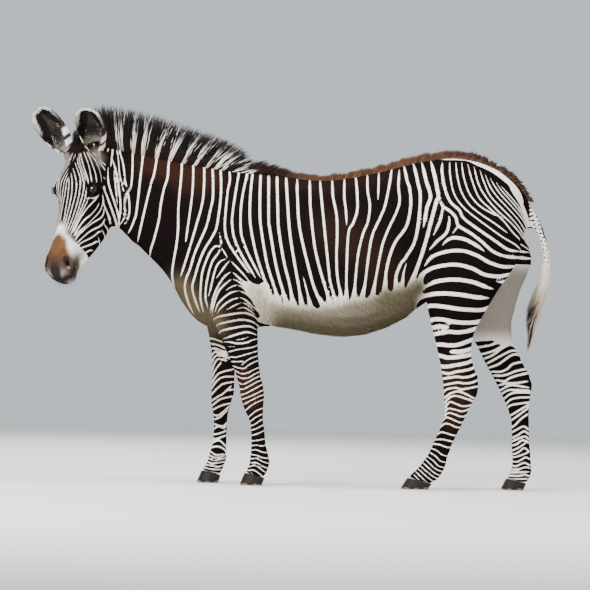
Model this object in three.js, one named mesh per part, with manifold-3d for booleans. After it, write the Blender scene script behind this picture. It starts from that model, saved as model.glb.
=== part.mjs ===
// A life-size model of an adult female Grevy's zebra, standing with its head turned to its left.
//
// Units are millimetres, +Z is up and the animal faces -X, so its left side looks along -Y.
// Each limb, the trunk with its neck, and the tail is a skin stretched over cross-sections. A section
// of the body is given by the two points where it meets the animal's side outline, so that the outline is
// exact. The whole is then parted with thin plane cuts into the pieces that a person would name.

import * as THREE from "three";
import { mergeVertices } from "three/addons/utils/BufferGeometryUtils.js";
import Module from "manifold-3d";

// ---------------------------------------------------------------- driving dimensions

const CUT = 0.4; // width of every cut between two pieces
const SMALLEST_EDGE = 0.05; // points closer than this are merged when a piece is finished

const BODY_SIDES = 24; // facets round the trunk and neck
const LEG_SIDES = 12;
const HEAD_SIDES = 24;
const TAIL_SIDES = 8;

const HEAD = {
  poll: [-1037, -118, 1555], // the top of the head, between the ears
  yaw: 67, // degrees that the face is turned from straight ahead towards the animal's left
  pitch: 65, // degrees that the face line points below the horizon
  roll: 6,
};
const EYE = { at: [206, 92, -55], radius: 23 }; // in the head's own frame, left side
const NOSTRIL = { at: [587, 52, -38], size: [19, 10, 12], turn: 25 };

const EAR = { length: 234, width: 140, thickness: 7, root: [6, 76, -38], cut: 46 };
const EAR_AIMS = {
  // the way the ear's length points, and the way its open side looks
  left: { up: [-0.2, -0.64, 0.74], open: [-0.3, -0.93, -0.2] },
  right: { up: [-0.64, 0.04, 0.77], open: [-0.5, -0.85, -0.1] },
};

// Distance of a leg's middle from the animal's midline, at its top and at the hoof.
const FORE_STANCE = { wide: 128, narrow: 92 };
const HIND_STANCE = { wide: 150, narrow: 96 };

// ---------------------------------------------------------------- body sections
//
// Each row is one section:
//   upper or front point (x, z), lower or back point (x, z), half width,
//   where along it the section is widest (0 at the first point, 1 at the second), and its squareness
//   (2 is an ellipse, more is squarer, less is more pointed) in the first and second part.

const TRUNK = [
  [-975, 1572, -880, 1190, 58, 0.55, 2.0, 2.0],
  [-925, 1568, -852, 1168, 66, 0.55, 1.9, 2.0],
  [-872, 1558, -822, 1146, 74, 0.56, 1.8, 2.0],
  [-814, 1545, -775, 1108, 82, 0.57, 1.75, 2.1],
  [-721, 1528, -708, 1045, 92, 0.58, 1.7, 2.1],
  [-618, 1508, -643, 986, 108, 0.6, 1.7, 2.2],
  [-506, 1488, -586, 906, 132, 0.62, 1.7, 2.3],
  [-403, 1472, -546, 832, 160, 0.63, 1.7, 2.4],
  [-300, 1460, -482, 754, 188, 0.62, 1.75, 2.4],
  [-216, 1452, -385, 706, 208, 0.6, 1.8, 2.2],
  [-142, 1445, -262, 712, 226, 0.58, 1.9, 2.0],
  [-72, 1437, -143, 735, 248, 0.56, 2.0, 2.0],
  [3, 1430, -26, 722, 272, 0.56, 2.05, 2.0],
  [82, 1424, 91, 700, 294, 0.56, 2.1, 2.0],
  [175, 1432, 198, 692, 308, 0.57, 2.1, 2.0],
  [267, 1450, 300, 702, 310, 0.57, 2.1, 2.0],
  [360, 1471, 402, 737, 298, 0.56, 2.1, 2.0],
  [452, 1497, 489, 783, 278, 0.53, 2.05, 2.0],
  [545, 1522, 566, 846, 262, 0.5, 2.0, 2.0],
  [637, 1539, 650, 900, 248, 0.45, 2.0, 1.9],
  [730, 1543, 737, 935, 236, 0.42, 2.0, 1.8],
  [824, 1527, 836, 970, 224, 0.44, 1.95, 1.8],
  [918, 1490, 925, 1022, 200, 0.46, 1.9, 1.8],
  [989, 1440, 992, 1096, 156, 0.48, 1.9, 1.9],
  [1036, 1384, 1036, 1180, 92, 0.5, 2.0, 2.0],
  [1062, 1345, 1056, 1238, 38, 0.5, 2.0, 2.0],
];

// How far the neck bends to the animal's left, and its turn in degrees, from the withers to the poll.
// In front of `hook` the mane turns faster still, to end between the ears at `hookSideways`.
const NECK_BEND = { from: -380, to: -980, sideways: 52, turn: 32, hook: -935, hookSideways: 140, hookTurn: 72 };

const NEAR_SHOULDER = [
  [-335, 1340, -262, 1328, 24, 0.5, 2.0, 2.0, 84],
  [-392, 1250, -232, 1228, 50, 0.5, 2.0, 2.0, 108],
  [-440, 1130, -205, 1110, 70, 0.5, 2.0, 2.0, 128],
  [-462, 1010, -178, 1002, 80, 0.5, 2.1, 2.1, 134],
  [-455, 900, -164, 898, 84, 0.5, 2.1, 2.1, 132],
  [-432, 812, -168, 822, 78, 0.48, 2.1, 2.1, 128],
];
const NEAR_FORE = [
  [-392, 738, -180, 770, 66, 0.45, 2.1, 2.0],
  [-355, 658, -183, 681, 58, 0.45, 2.1, 2.0],
  [-320, 584, -180, 597, 51, 0.46, 2.1, 2.0],
  [-291, 520, -171, 523, 46, 0.5, 2.1, 2.0],
  [-270, 455, -155, 458, 44, 0.48, 2.4, 2.1],
  [-263, 406, -146, 417, 45, 0.46, 2.5, 2.0],
  [-247, 354, -150, 370, 37, 0.46, 2.4, 2.0],
  [-222, 303, -150, 310, 29, 0.5, 2.2, 2.1],
  [-211, 248, -143, 252, 27, 0.5, 2.1, 2.1],
  [-209, 180, -134, 184, 27, 0.5, 2.1, 2.1],
  [-211, 138, -122, 140, 33, 0.5, 2.2, 2.0],
  [-214, 104, -114, 104, 36, 0.5, 2.2, 1.9],
  [-222, 80, -124, 72, 34, 0.5, 2.2, 2.0],
  [-231, 66, -136, 48, 36, 0.5, 2.2, 2.1],
  [-240, 44, -142, 28, 43, 0.5, 2.3, 2.3],
  [-254, 8, -150, 6, 49, 0.5, 2.4, 2.3],
  [-254, 0, -152, 0, 47, 0.5, 2.4, 2.3],
];
const FAR_SHOULDER = [
  [-335, 1340, -262, 1328, 24, 0.5, 2.0, 2.0, 84],
  [-392, 1250, -232, 1228, 50, 0.5, 2.0, 2.0, 108],
  [-448, 1130, -215, 1110, 70, 0.5, 2.0, 2.0, 128],
  [-482, 1010, -200, 1002, 80, 0.5, 2.1, 2.1, 134],
  [-490, 900, -205, 898, 84, 0.5, 2.1, 2.1, 132],
  [-468, 812, -225, 822, 78, 0.48, 2.1, 2.1, 128],
];
const FAR_FORE = [
  [-438, 742, -246, 760, 64, 0.45, 2.1, 2.0],
  [-421, 680, -262, 690, 57, 0.45, 2.1, 2.0],
  [-409, 615, -278, 622, 51, 0.46, 2.1, 2.0],
  [-402, 550, -288, 556, 46, 0.5, 2.1, 2.0],
  [-401, 478, -292, 474, 44, 0.48, 2.4, 2.1],
  [-404, 415, -290, 420, 45, 0.46, 2.5, 2.0],
  [-400, 360, -304, 372, 37, 0.46, 2.4, 2.0],
  [-391, 308, -317, 315, 29, 0.5, 2.2, 2.1],
  [-387, 255, -321, 259, 27, 0.5, 2.1, 2.1],
  [-391, 190, -321, 194, 27, 0.5, 2.1, 2.1],
  [-402, 142, -322, 140, 33, 0.5, 2.2, 2.0],
  [-412, 106, -320, 100, 36, 0.5, 2.2, 1.9],
  [-424, 80, -332, 70, 34, 0.5, 2.2, 2.0],
  [-434, 64, -343, 47, 36, 0.5, 2.2, 2.1],
  [-443, 42, -349, 26, 43, 0.5, 2.3, 2.3],
  [-457, 8, -355, 6, 49, 0.5, 2.4, 2.3],
  [-457, 0, -357, 0, 47, 0.5, 2.4, 2.3],
];
const NEAR_HAUNCH = [
  [700, 1420, 850, 1405, 40, 0.5, 2.0, 2.0, 104],
  [650, 1345, 935, 1320, 80, 0.5, 2.0, 2.0, 124],
  [604, 1255, 998, 1232, 104, 0.5, 2.0, 2.0, 134],
  [576, 1150, 1032, 1140, 116, 0.5, 2.1, 2.0, 140],
  [562, 1050, 1012, 1060, 118, 0.5, 2.1, 2.0, 144],
  [566, 960, 966, 985, 114, 0.5, 2.1, 2.0, 146],
];
const NEAR_HIND = [
  [580, 880, 908, 905, 104, 0.48, 2.1, 2.0],
  [595, 815, 860, 822, 90, 0.46, 2.1, 2.0],
  [611, 752, 824, 756, 78, 0.45, 2.1, 2.0],
  [627, 698, 808, 698, 68, 0.45, 2.1, 1.9],
  [641, 641, 805, 650, 59, 0.45, 2.1, 1.8],
  [654, 590, 813, 599, 52, 0.45, 2.2, 1.6],
  [665, 535, 832, 545, 47, 0.42, 2.3, 1.6],
  [672, 480, 848, 488, 45, 0.4, 2.4, 1.8],
  [677, 425, 836, 440, 45, 0.42, 2.5, 2.0],
  [682, 372, 806, 384, 39, 0.45, 2.4, 2.1],
  [674, 318, 777, 322, 33, 0.48, 2.2, 2.1],
  [653, 264, 752, 268, 31, 0.5, 2.1, 2.1],
  [627, 204, 727, 208, 30, 0.5, 2.1, 2.1],
  [600, 146, 706, 146, 34, 0.5, 2.2, 2.0],
  [573, 108, 694, 92, 39, 0.5, 2.2, 1.9],
  [547, 82, 672, 56, 37, 0.5, 2.2, 2.0],
  [526, 62, 646, 36, 39, 0.5, 2.2, 2.1],
  [510, 38, 632, 22, 44, 0.5, 2.3, 2.3],
  [492, 8, 620, 6, 49, 0.5, 2.4, 2.3],
  [492, 0, 618, 0, 47, 0.5, 2.4, 2.3],
];
const FAR_HAUNCH = [
  [700, 1420, 850, 1405, 40, 0.5, 2.0, 2.0, 104],
  [662, 1345, 940, 1320, 80, 0.5, 2.0, 2.0, 124],
  [644, 1255, 1012, 1232, 104, 0.5, 2.0, 2.0, 134],
  [652, 1150, 1076, 1140, 116, 0.5, 2.1, 2.0, 140],
  [674, 1050, 1090, 1070, 118, 0.5, 2.1, 2.0, 144],
  [702, 960, 1064, 985, 114, 0.5, 2.1, 2.0, 146],
];
const FAR_HIND = [
  [736, 880, 1032, 912, 100, 0.48, 2.1, 2.0],
  [762, 818, 1012, 842, 86, 0.46, 2.1, 2.0],
  [786, 755, 999, 780, 75, 0.45, 2.1, 2.0],
  [817, 696, 1003, 718, 66, 0.45, 2.1, 1.9],
  [848, 638, 1026, 655, 58, 0.45, 2.1, 1.8],
  [879, 579, 1056, 598, 52, 0.45, 2.2, 1.6],
  [909, 527, 1088, 545, 47, 0.42, 2.3, 1.6],
  [937, 478, 1102, 496, 45, 0.4, 2.4, 1.8],
  [961, 428, 1096, 446, 45, 0.42, 2.5, 2.0],
  [985, 376, 1089, 388, 39, 0.45, 2.4, 2.1],
  [1000, 326, 1090, 331, 33, 0.48, 2.2, 2.1],
  [1004, 262, 1094, 266, 31, 0.5, 2.1, 2.1],
  [1006, 196, 1097, 199, 30, 0.5, 2.1, 2.1],
  [1010, 140, 1102, 138, 34, 0.5, 2.2, 2.0],
  [1010, 106, 1109, 92, 39, 0.5, 2.2, 1.9],
  [1002, 84, 1100, 58, 37, 0.5, 2.2, 2.0],
  [991, 64, 1086, 38, 39, 0.5, 2.2, 2.1],
  [979, 42, 1078, 22, 44, 0.5, 2.3, 2.3],
  [963, 8, 1070, 6, 49, 0.5, 2.4, 2.3],
  [963, 0, 1068, 0, 47, 0.5, 2.4, 2.3],
];

const TAIL = [
  [1062, 1345, 1056, 1238, 38, 0.5, 2.0, 2.0],
  [1100, 1288, 1066, 1226, 29, 0.5, 2.0, 2.0],
  [1130, 1225, 1089, 1195, 24, 0.5, 2.0, 2.0],
  [1150, 1162, 1108, 1145, 22, 0.5, 2.0, 2.0],
  [1163, 1096, 1119, 1088, 21, 0.5, 2.0, 2.0],
  [1169, 1028, 1121, 1028, 22, 0.5, 2.0, 2.0],
  [1163, 962, 1108, 972, 27, 0.5, 2.0, 2.0],
  [1147, 906, 1085, 922, 32, 0.5, 2.0, 2.0],
  [1121, 852, 1056, 872, 33, 0.5, 2.0, 2.0],
  [1096, 808, 1042, 822, 27, 0.5, 2.0, 2.0],
  [1082, 752, 1051, 758, 15, 0.5, 2.0, 2.0],
  [1076, 704, 1064, 706, 6, 0.5, 2.0, 2.0],
];
const TAIL_TUFT_FROM = [1158, 900, 1080, 944]; // the dock ends and the long switch begins on this line

// The upright hair: foot (x, z) on the crest, tip (x, z), half thickness.
const MANE = [
  [-1046, 1524, -1064, 1592, 12],
  [-1012, 1530, -1042, 1655, 20],
  [-982, 1545, -1006, 1716, 24],
  [-945, 1548, -945, 1740, 26],
  [-875, 1536, -879, 1738, 27],
  [-805, 1520, -805, 1726, 27],
  [-711, 1504, -709, 1708, 27],
  [-618, 1484, -611, 1682, 26],
  [-524, 1466, -514, 1650, 25],
  [-431, 1450, -416, 1620, 24],
  [-347, 1438, -330, 1586, 22],
  [-284, 1430, -268, 1552, 20],
  [-236, 1428, -222, 1512, 17],
];
const CREST = [
  [-206, 1426, -194, 1512, 16],
  [-151, 1420, -136, 1494, 16],
  [-58, 1410, -46, 1461, 16],
  [36, 1402, 40, 1443, 16],
  [105, 1400, 104, 1441, 16],
  [198, 1410, 193, 1452, 16],
  [314, 1436, 305, 1480, 17],
  [429, 1464, 415, 1511, 18],
  [545, 1497, 535, 1548, 19],
  [661, 1516, 659, 1572, 20],
  [777, 1512, 784, 1569, 20],
  [871, 1486, 888, 1535, 19],
  [956, 1440, 977, 1486, 18],
  [1012, 1392, 1034, 1430, 16],
  [1046, 1344, 1068, 1375, 12],
];

// The head in its own frame: +x from the poll down the face, +y to the animal's left, +z out of the
// forehead. Each row: x, top z, bottom z, then half widths at SHARES of the way from top to bottom.
const SHARES = [0.07, 0.26, 0.46, 0.7, 0.92];
const SKULL = [
  [-34, -60, -150, 26, 40, 44, 40, 26],
  [-18, -22, -186, 34, 58, 66, 60, 38],
  [14, 2, -226, 44, 70, 78, 74, 46],
  [58, 15, -266, 50, 78, 86, 84, 54],
  [104, 23, -314, 55, 86, 90, 88, 60],
  [148, 27, -345, 70, 106, 93, 89, 63],
  [184, 26, -361, 79, 122, 96, 88, 64],
  [216, 21, -364, 74, 118, 93, 87, 64],
  [250, 15, -360, 54, 95, 90, 84, 61],
  [296, 10, -348, 45, 77, 84, 78, 57],
  [350, 5, -327, 39, 66, 74, 70, 51],
  [406, 1, -298, 36, 57, 64, 61, 45],
  [462, -1, -264, 36, 54, 57, 52, 38],
  [512, -4, -226, 41, 59, 56, 47, 34],
  [554, -8, -198, 47, 69, 60, 47, 33],
  [588, -13, -187, 48, 75, 63, 49, 35],
  [614, -24, -181, 42, 70, 62, 49, 37],
  [635, -44, -170, 29, 51, 51, 43, 32],
  [648, -68, -150, 17, 32, 37, 31, 21],
];

// Lines across which the body is cut: two points (x, z) in the side view.
const NECK_TO_HEAD = [-902, 1700, -838, 1120];
const NECK_TO_TRUNK = [-262, 1470, -546, 760];
// The hoof's top edge is given by its heights over the toe and HOOF_LENGTH behind it.
const HOOF_LENGTH = 110;
const FORE_CUTS = { top: [790, 790], joint: 432, fetlock: 112, coronet: [62, 36] };
const HIND_CUTS = { top: [892, 940], joint: 462, fetlock: 116, coronet: [60, 34] };

const COLOURS = {
  coat: ["#d8cfc0", 0.85],
  mane: ["#4a3a32", 0.9],
  crest: ["#7a5236", 0.9],
  tuft: ["#5b4a41", 0.9],
  eye: ["#1a120d", 0.15],
  hoof: ["#3b3230", 0.6],
};

// ---------------------------------------------------------------- shaping

const wasm = await Module();
wasm.setup();

const radians = (degrees) => (degrees * Math.PI) / 180;

/** A unit curve between a circle and a square: the cosine or sine `v` raised for squareness `n`. */
const squared = (v, n) => Math.sign(v) * Math.abs(v) ** (2 / n);

/**
 * One closed section between two points of the side outline.
 * `turn` swings its width round the upright axis, for a neck that bends.
 */
function section(row, middle, turn, sides) {
  const [ax, az, bx, bz, width, widest, squareA, squareB] = row;
  const centre = new THREE.Vector3(ax + (bx - ax) * widest, middle, az + (bz - az) * widest);
  const toA = new THREE.Vector3(ax, middle, az).sub(centre);
  const toB = new THREE.Vector3(bx, middle, bz).sub(centre);
  const across = new THREE.Vector3(-Math.sin(turn), Math.cos(turn), 0).multiplyScalar(width);
  const points = [];
  for (let i = 0; i < sides; i++) {
    const angle = (2 * Math.PI * i) / sides;
    const c = Math.cos(angle);
    const n = c > 0 ? squareA : squareB;
    const along = c > 0 ? toA : toB;
    const point = centre.clone();
    point.addScaledVector(along, Math.abs(squared(c, n)));
    point.addScaledVector(across, squared(Math.sin(angle), n));
    points.push(point);
  }
  return points;
}

/** A closed skin over sections that all have the same number of points, as a manifold solid. */
function loft(sections) {
  const sides = sections[0].length;
  const position = [];
  for (const p of sections.flat()) position.push(p.x, p.y, p.z);
  const index = [];
  for (let s = 0; s < sections.length - 1; s++) {
    for (let i = 0; i < sides; i++) {
      const a = s * sides + i;
      const b = s * sides + ((i + 1) % sides);
      index.push(a, b, b + sides, a, b + sides, a + sides);
    }
  }
  const last = (sections.length - 1) * sides;
  for (let i = 0; i < sides / 2 - 1; i++) {
    // The two ends are closed by strips between each point and the one that mirrors it.
    const [a, b, c, d] = [i, i + 1, sides - 2 - i, sides - 1 - i];
    index.push(b, a, c, c, a, d);
    index.push(last + a, last + b, last + c, last + a, last + c, last + d);
  }
  return solidFrom(new THREE.BufferGeometry()
    .setAttribute("position", new THREE.Float32BufferAttribute(position, 3))
    .setIndex(index));
}

/** A closed three.js geometry as a solid, turned the right way out. */
function solidFrom(geometry, tolerance = 1e-3) {
  const bare = new THREE.BufferGeometry()
    .setAttribute("position", geometry.getAttribute("position"))
    .setIndex(geometry.index);
  const merged = mergeVertices(bare, tolerance);
  const vertProperties = new Float32Array(merged.attributes.position.array);
  const triVerts = new Uint32Array(merged.index.array);
  const made = new wasm.Manifold(new wasm.Mesh({ numProp: 3, vertProperties, triVerts }));
  if (made.volume() > 0) return made;
  for (let i = 0; i < triVerts.length; i += 3) {
    [triVerts[i + 1], triVerts[i + 2]] = [triVerts[i + 2], triVerts[i + 1]];
  }
  return new wasm.Manifold(new wasm.Mesh({ numProp: 3, vertProperties, triVerts }));
}

/** An ellipsoid of these half sizes, placed by a matrix. */
function ellipsoid(size, matrix, sides = 14) {
  const sphere = new THREE.SphereGeometry(1, sides, Math.round(sides * 0.6)).scale(...size);
  return solidFrom(sphere.applyMatrix4(matrix));
}

/** The plane through a line (x1, z1, x2, z2) of the side view, as a normal and its distance. */
function planeThrough([x1, z1, x2, z2]) {
  const normal = new THREE.Vector3(z2 - z1, 0, x1 - x2).normalize();
  return { normal: normal.toArray(), distance: normal.x * x1 + normal.z * z1 };
}

/** The two sides of a solid cut by such a plane: [the side the normal points to, the other]. */
function parted(solid, line, gap = CUT) {
  const { normal, distance } = planeThrough(line);
  const back = normal.map((v) => -v);
  return [
    solid.trimByPlane(normal, distance + gap / 2),
    solid.trimByPlane(back, -distance + gap / 2),
  ];
}

// ---------------------------------------------------------------- the body

/** How far along the bend of the neck a section is: 0 at the withers and 1 at the poll. */
function bendShare(x) {
  const t = THREE.MathUtils.clamp((NECK_BEND.from - x) / (NECK_BEND.from - NECK_BEND.to), 0, 1.1);
  return t * t * (1.6 - 0.6 * t);
}

/** The y of the mane above a point of the crest, and how far its thickness is turned there. */
function manePlace(x) {
  const share = bendShare(x);
  const hooked = Math.max((NECK_BEND.hook - x) / (NECK_BEND.hook - MANE[0][0]), 0) ** 1.6;
  const sideways = THREE.MathUtils.lerp(share * NECK_BEND.sideways, NECK_BEND.hookSideways, hooked);
  const turn = THREE.MathUtils.lerp(share * NECK_BEND.turn, NECK_BEND.hookTurn, hooked);
  return [-sideways, radians(turn)];
}

function trunkAndNeck() {
  return loft(TRUNK.map((row) => {
    const share = bendShare((row[0] + row[2]) / 2);
    return section(row, -share * NECK_BEND.sideways, share * radians(NECK_BEND.turn), BODY_SIDES);
  }));
}

/**
 * A whole limb, from where it lies on the trunk down to the sole. The rows on the trunk end with the
 * distance from the midline; below them the leg narrows from `wide` to `narrow` off the midline.
 */
function limb({ side, rootRows, rows, wide, narrow }, room = 0) {
  const top = (rows[0][1] + rows[0][3]) / 2;
  const below = rows.map((row) => {
    const height = (row[1] + row[3]) / 2 / top;
    return [...row, narrow + (wide - narrow) * height ** 1.5];
  });
  const grown = withRoom([...rootRows, ...below], room);
  return loft(grown.map((row) => section(row, side * row[8], 0, LEG_SIDES)));
}

/** Rows whose sections are larger by `room` all round. */
function withRoom(rows, room) {
  return rows.map(([ax, az, bx, bz, width, ...rest]) => {
    const out = new THREE.Vector2(ax - bx, az - bz).setLength(room);
    return [ax + out.x, az + out.y, bx - out.x, bz - out.y, width + room, ...rest];
  });
}

/** A ridge of upright hair on the neck or back, from foot to tip. */
function hairRidge(rows) {
  return loft(rows.map(([fx, fz, tx, tz, thick]) => {
    const row = [tx, tz, fx, fz, thick, 0.72, 1.5, 5];
    return section(row, ...manePlace(fx), 8);
  }));
}

// ---------------------------------------------------------------- the head

/** From the head's own frame to the animal's. */
function headMatrix() {
  const down = radians(HEAD.pitch);
  const face = new THREE.Vector3(-Math.cos(down), 0, -Math.sin(down));
  const left = new THREE.Vector3(0, -1, 0);
  const out = new THREE.Vector3(-Math.sin(down), 0, Math.cos(down));
  const set = new THREE.Matrix4().makeBasis(face, left, out);
  const roll = new THREE.Matrix4().makeRotationX(radians(HEAD.roll));
  const yaw = new THREE.Matrix4().makeRotationZ(radians(HEAD.yaw));
  return new THREE.Matrix4().makeTranslation(...HEAD.poll).multiply(yaw).multiply(set).multiply(roll);
}

/** A section of the head: half widths at several heights, rounded off at the top and bottom. */
function headSection([x, top, bottom, ...widths]) {
  const heights = [0, ...SHARES, 1];
  const halves = [0, ...widths, 0];
  const curve = new THREE.CatmullRomCurve3(
    heights.map((share, i) => new THREE.Vector3(halves[i], 0, top + (bottom - top) * share)),
    false, "centripetal",
  );
  const half = HEAD_SIDES / 2;
  const left = Array.from({ length: half + 1 }, (_, i) => curve.getPointAt(i / half));
  const right = left.slice(1, -1).reverse();
  return [
    ...left.map((p) => new THREE.Vector3(x, p.x, p.z)),
    ...right.map((p) => new THREE.Vector3(x, -p.x, p.z)),
  ];
}

function head(toWorld) {
  let made = loft(SKULL.map(headSection));
  for (const side of [1, -1]) {
    const [nx, ny, nz] = NOSTRIL.at;
    const pit = new THREE.Matrix4().makeTranslation(nx, side * ny, nz)
      .multiply(new THREE.Matrix4().makeRotationY(radians(NOSTRIL.turn)));
    made = made.subtract(ellipsoid(NOSTRIL.size, pit, 12));
    const [ex, ey, ez] = EYE.at;
    const socket = new THREE.Matrix4().makeTranslation(ex, side * ey, ez);
    const room = EYE.radius + CUT;
    made = made.subtract(ellipsoid([room, room, room], socket));
  }
  return made.transform(toWorld.elements);
}

function eye(toWorld, side) {
  const [x, y, z] = EYE.at;
  const place = toWorld.clone().multiply(new THREE.Matrix4().makeTranslation(x, side * y, z));
  return ellipsoid([EYE.radius, EYE.radius, EYE.radius], place);
}

/** An ear as a scoop: its section is a curved strip, closest to a tube at the root. */
function ear(toWorld, side, aims) {
  const rootPlace = new THREE.Vector3(EAR.root[0], side * EAR.root[1], EAR.root[2]);
  const root = rootPlace.applyMatrix4(toWorld);
  const up = new THREE.Vector3(...aims.up).normalize();
  const open = new THREE.Vector3(...aims.open);
  open.addScaledVector(up, -open.dot(up)).normalize();
  const across = new THREE.Vector3().crossVectors(up, open);
  const place = new THREE.Matrix4().makeBasis(across, open, up).setPosition(root);
  const half = 8; // points on each of the strip's two faces
  const levels = [-0.1, 0.02, 0.14, 0.26, 0.38, 0.5, 0.62, 0.74, 0.84, 0.92, 0.97, 0.995];
  const made = loft(levels.map((level) => {
    const bulge = level < 0.62 ? 0.62 + 0.38 * Math.sin((Math.PI / 2) * Math.max(level, 0) / 0.62)
      : Math.sqrt(Math.max(1 - ((level - 0.62) / 0.38) ** 2.2, 0.02));
    const wide = (EAR.width / 2) * bulge;
    const wrap = radians(THREE.MathUtils.lerp(158, 88, Math.min(Math.max(level, 0) / 0.7, 1)));
    const deep = wide * THREE.MathUtils.lerp(0.95, 0.42, Math.min(Math.max(level, 0) / 0.8, 1));
    const wall = EAR.thickness * (level > 0.9 ? 0.7 : 1);
    const strip = (inset) => Array.from({ length: half }, (_, i) => {
      const angle = wrap * ((2 * i) / (half - 1) - 1);
      return new THREE.Vector3(
        (wide - inset) * Math.sin(angle) / (wrap > Math.PI / 2 ? 1 : Math.sin(wrap)),
        -(deep - inset) * Math.cos(angle),
        level * EAR.length,
      );
    });
    return [...strip(0), ...strip(wall).reverse()];
  }));
  return made.transform(place.elements);
}

// ---------------------------------------------------------------- parting the whole

const pieces = new Map();
const toWorld = headMatrix();

/** Cuts a leg at the knee or hock, the fetlock and the coronet, and stores the four pieces. */
function partLeg(name, solid, cuts, upperName) {
  const level = (z) => [2000, z, -2000, z];
  const [upper, belowJoint] = parted(solid, level(cuts.joint));
  const [cannon, foot] = parted(belowJoint, level(cuts.fetlock));
  const sole = foot.boundingBox();
  const toe = sole.min[0];
  const hoofLine = [toe + HOOF_LENGTH, cuts.coronet[1], toe, cuts.coronet[0]];
  const [pastern, hoof] = parted(foot, hoofLine);
  pieces.set(`${upperName}_${name}`, [upper, "coat"]);
  pieces.set(`cannon_${name}`, [cannon, "coat"]);
  pieces.set(`pastern_${name}`, [pastern, "coat"]);
  pieces.set(`hoof_${name}`, [hoof, "hoof"]);
}

const LIMBS = {
  fore_left: { side: -1, rootRows: NEAR_SHOULDER, rows: NEAR_FORE, ...FORE_STANCE },
  fore_right: { side: 1, rootRows: FAR_SHOULDER, rows: FAR_FORE, ...FORE_STANCE },
  hind_left: { side: -1, rootRows: NEAR_HAUNCH, rows: NEAR_HIND, ...HIND_STANCE },
  hind_right: { side: 1, rootRows: FAR_HAUNCH, rows: FAR_HIND, ...HIND_STANCE },
};

let body = trunkAndNeck();
for (const [name, shape] of Object.entries(LIMBS)) {
  const fore = name.startsWith("fore");
  const cuts = fore ? FORE_CUTS : HIND_CUTS;
  const [frontX, , backX] = shape.rows[0];
  const line = [backX, cuts.top[1], frontX, cuts.top[0]];
  const [root, free] = parted(limb(shape), line);
  const [, freeWithRoom] = parted(limb(shape, CUT), line, -CUT);
  body = body.subtract(freeWithRoom).add(root);
  partLeg(name, free, cuts, fore ? "forearm" : "thigh");
}

const tail = loft(TAIL.map((row) => section(row, 0, 0, TAIL_SIDES)))
  .translate([CUT, 0, 0])
  .subtract(body.translate([CUT, 0, 0]));
const [dock, tuft] = parted(tail, TAIL_TUFT_FROM);
pieces.set("tail_dock", [dock, "coat"]);
pieces.set("tail_tuft", [tuft, "tuft"]);

const ears = [];
for (const [name, side] of [["left", 1], ["right", -1]]) {
  const whole = ear(toWorld, side, EAR_AIMS[name]);
  const up = new THREE.Vector3(...EAR_AIMS[name].up).normalize();
  const root = new THREE.Vector3(EAR.root[0], side * EAR.root[1], EAR.root[2]).applyMatrix4(toWorld);
  const distance = up.dot(root) + EAR.cut;
  const back = up.clone().negate();
  ears.push(whole);
  pieces.set(`ear_${name}`, [whole.trimByPlane(up.toArray(), distance + CUT / 2), "coat"]);
  pieces.set(`eye_${name}`, [eye(toWorld, side), "eye"]);
  body = body.add(whole.trimByPlane(back.toArray(), -distance + CUT / 2));
}
body = body.add(head(toWorld));

const [headAndEars, neckAndTrunk] = parted(body, NECK_TO_HEAD);
const [neck, trunk] = parted(neckAndTrunk, NECK_TO_TRUNK);
pieces.set("head", [headAndEars, "coat"]);
pieces.set("neck", [neck, "coat"]);
pieces.set("trunk", [trunk, "coat"]);

for (const [name, rows, colour] of [["mane", MANE, "mane"], ["back_crest", CREST, "crest"]]) {
  let ridge = hairRidge(rows);
  for (const shift of [0, CUT]) ridge = ridge.subtract(body.translate([0, 0, shift]));
  for (const one of ears) ridge = ridge.subtract(one).subtract(one.translate([CUT, 2 * CUT, 0]));
  pieces.set(name, [ridge, colour]);
}

// ---------------------------------------------------------------- the scene

/** The largest body of a solid, without the slivers that a cut can leave. */
function mainBody(solid) {
  const bodies = solid.decompose();
  return bodies.reduce((a, b) => (a.volume() > b.volume() ? a : b));
}

/** The triangles of a solid as a three.js geometry with only positions. */
function geometryOf(solid) {
  const made = solid.getMesh();
  const points = new Float32Array(made.numVert * 3);
  for (let i = 0; i < made.numVert; i++) {
    points.set(made.vertProperties.subarray(i * made.numProp, i * made.numProp + 3), i * 3);
  }
  return new THREE.BufferGeometry()
    .setAttribute("position", new THREE.BufferAttribute(points, 3))
    .setIndex(new THREE.BufferAttribute(made.triVerts, 1));
}

function meshOf(name, solid, colour) {
  const tidied = solidFrom(geometryOf(mainBody(solid)), SMALLEST_EDGE);
  const geometry = geometryOf(mainBody(tidied));
  geometry.computeVertexNormals();
  const [hex, roughness] = COLOURS[colour];
  const material = new THREE.MeshStandardMaterial({ color: hex, roughness, metalness: 0 });
  const mesh = new THREE.Mesh(geometry, material);
  mesh.name = name;
  return mesh;
}

const zebra = new THREE.Group();
for (const [name, [solid, colour]] of pieces) zebra.add(meshOf(name, solid, colour));

// The frame's origin is on the floor, under the middle of the animal's box.
const box = new THREE.Box3().setFromObject(zebra);
zebra.position.set(-(box.min.x + box.max.x) / 2, -(box.min.y + box.max.y) / 2, -box.min.z);

export default zebra;
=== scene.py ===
"""A life-size Grevy's zebra, standing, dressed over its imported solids.

One skin stands for all the flesh. It is smoothed from the solids, shaped with muscles, folds, lids,
nostrils and lips, and marked with stripes that are drawn as lines on charts of the body and the head.
Over it lie tufts of short coat, the upright mane, the crest along the back, the hair of the ears and
the switch of the tail. Every tuft takes its markings from the skin at its root.

Body shapes are written in the animal's own millimetres: x from nose to tail, y to its right of the
midline, z up from the floor. The head has a frame of its own, from the poll down the face.
"""

import logging
import math
from dataclasses import dataclass, field
from enum import Enum

import bmesh
import bpy
import numpy as np
from mathutils import Matrix, Vector
from mathutils.bvhtree import BVHTree


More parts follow.
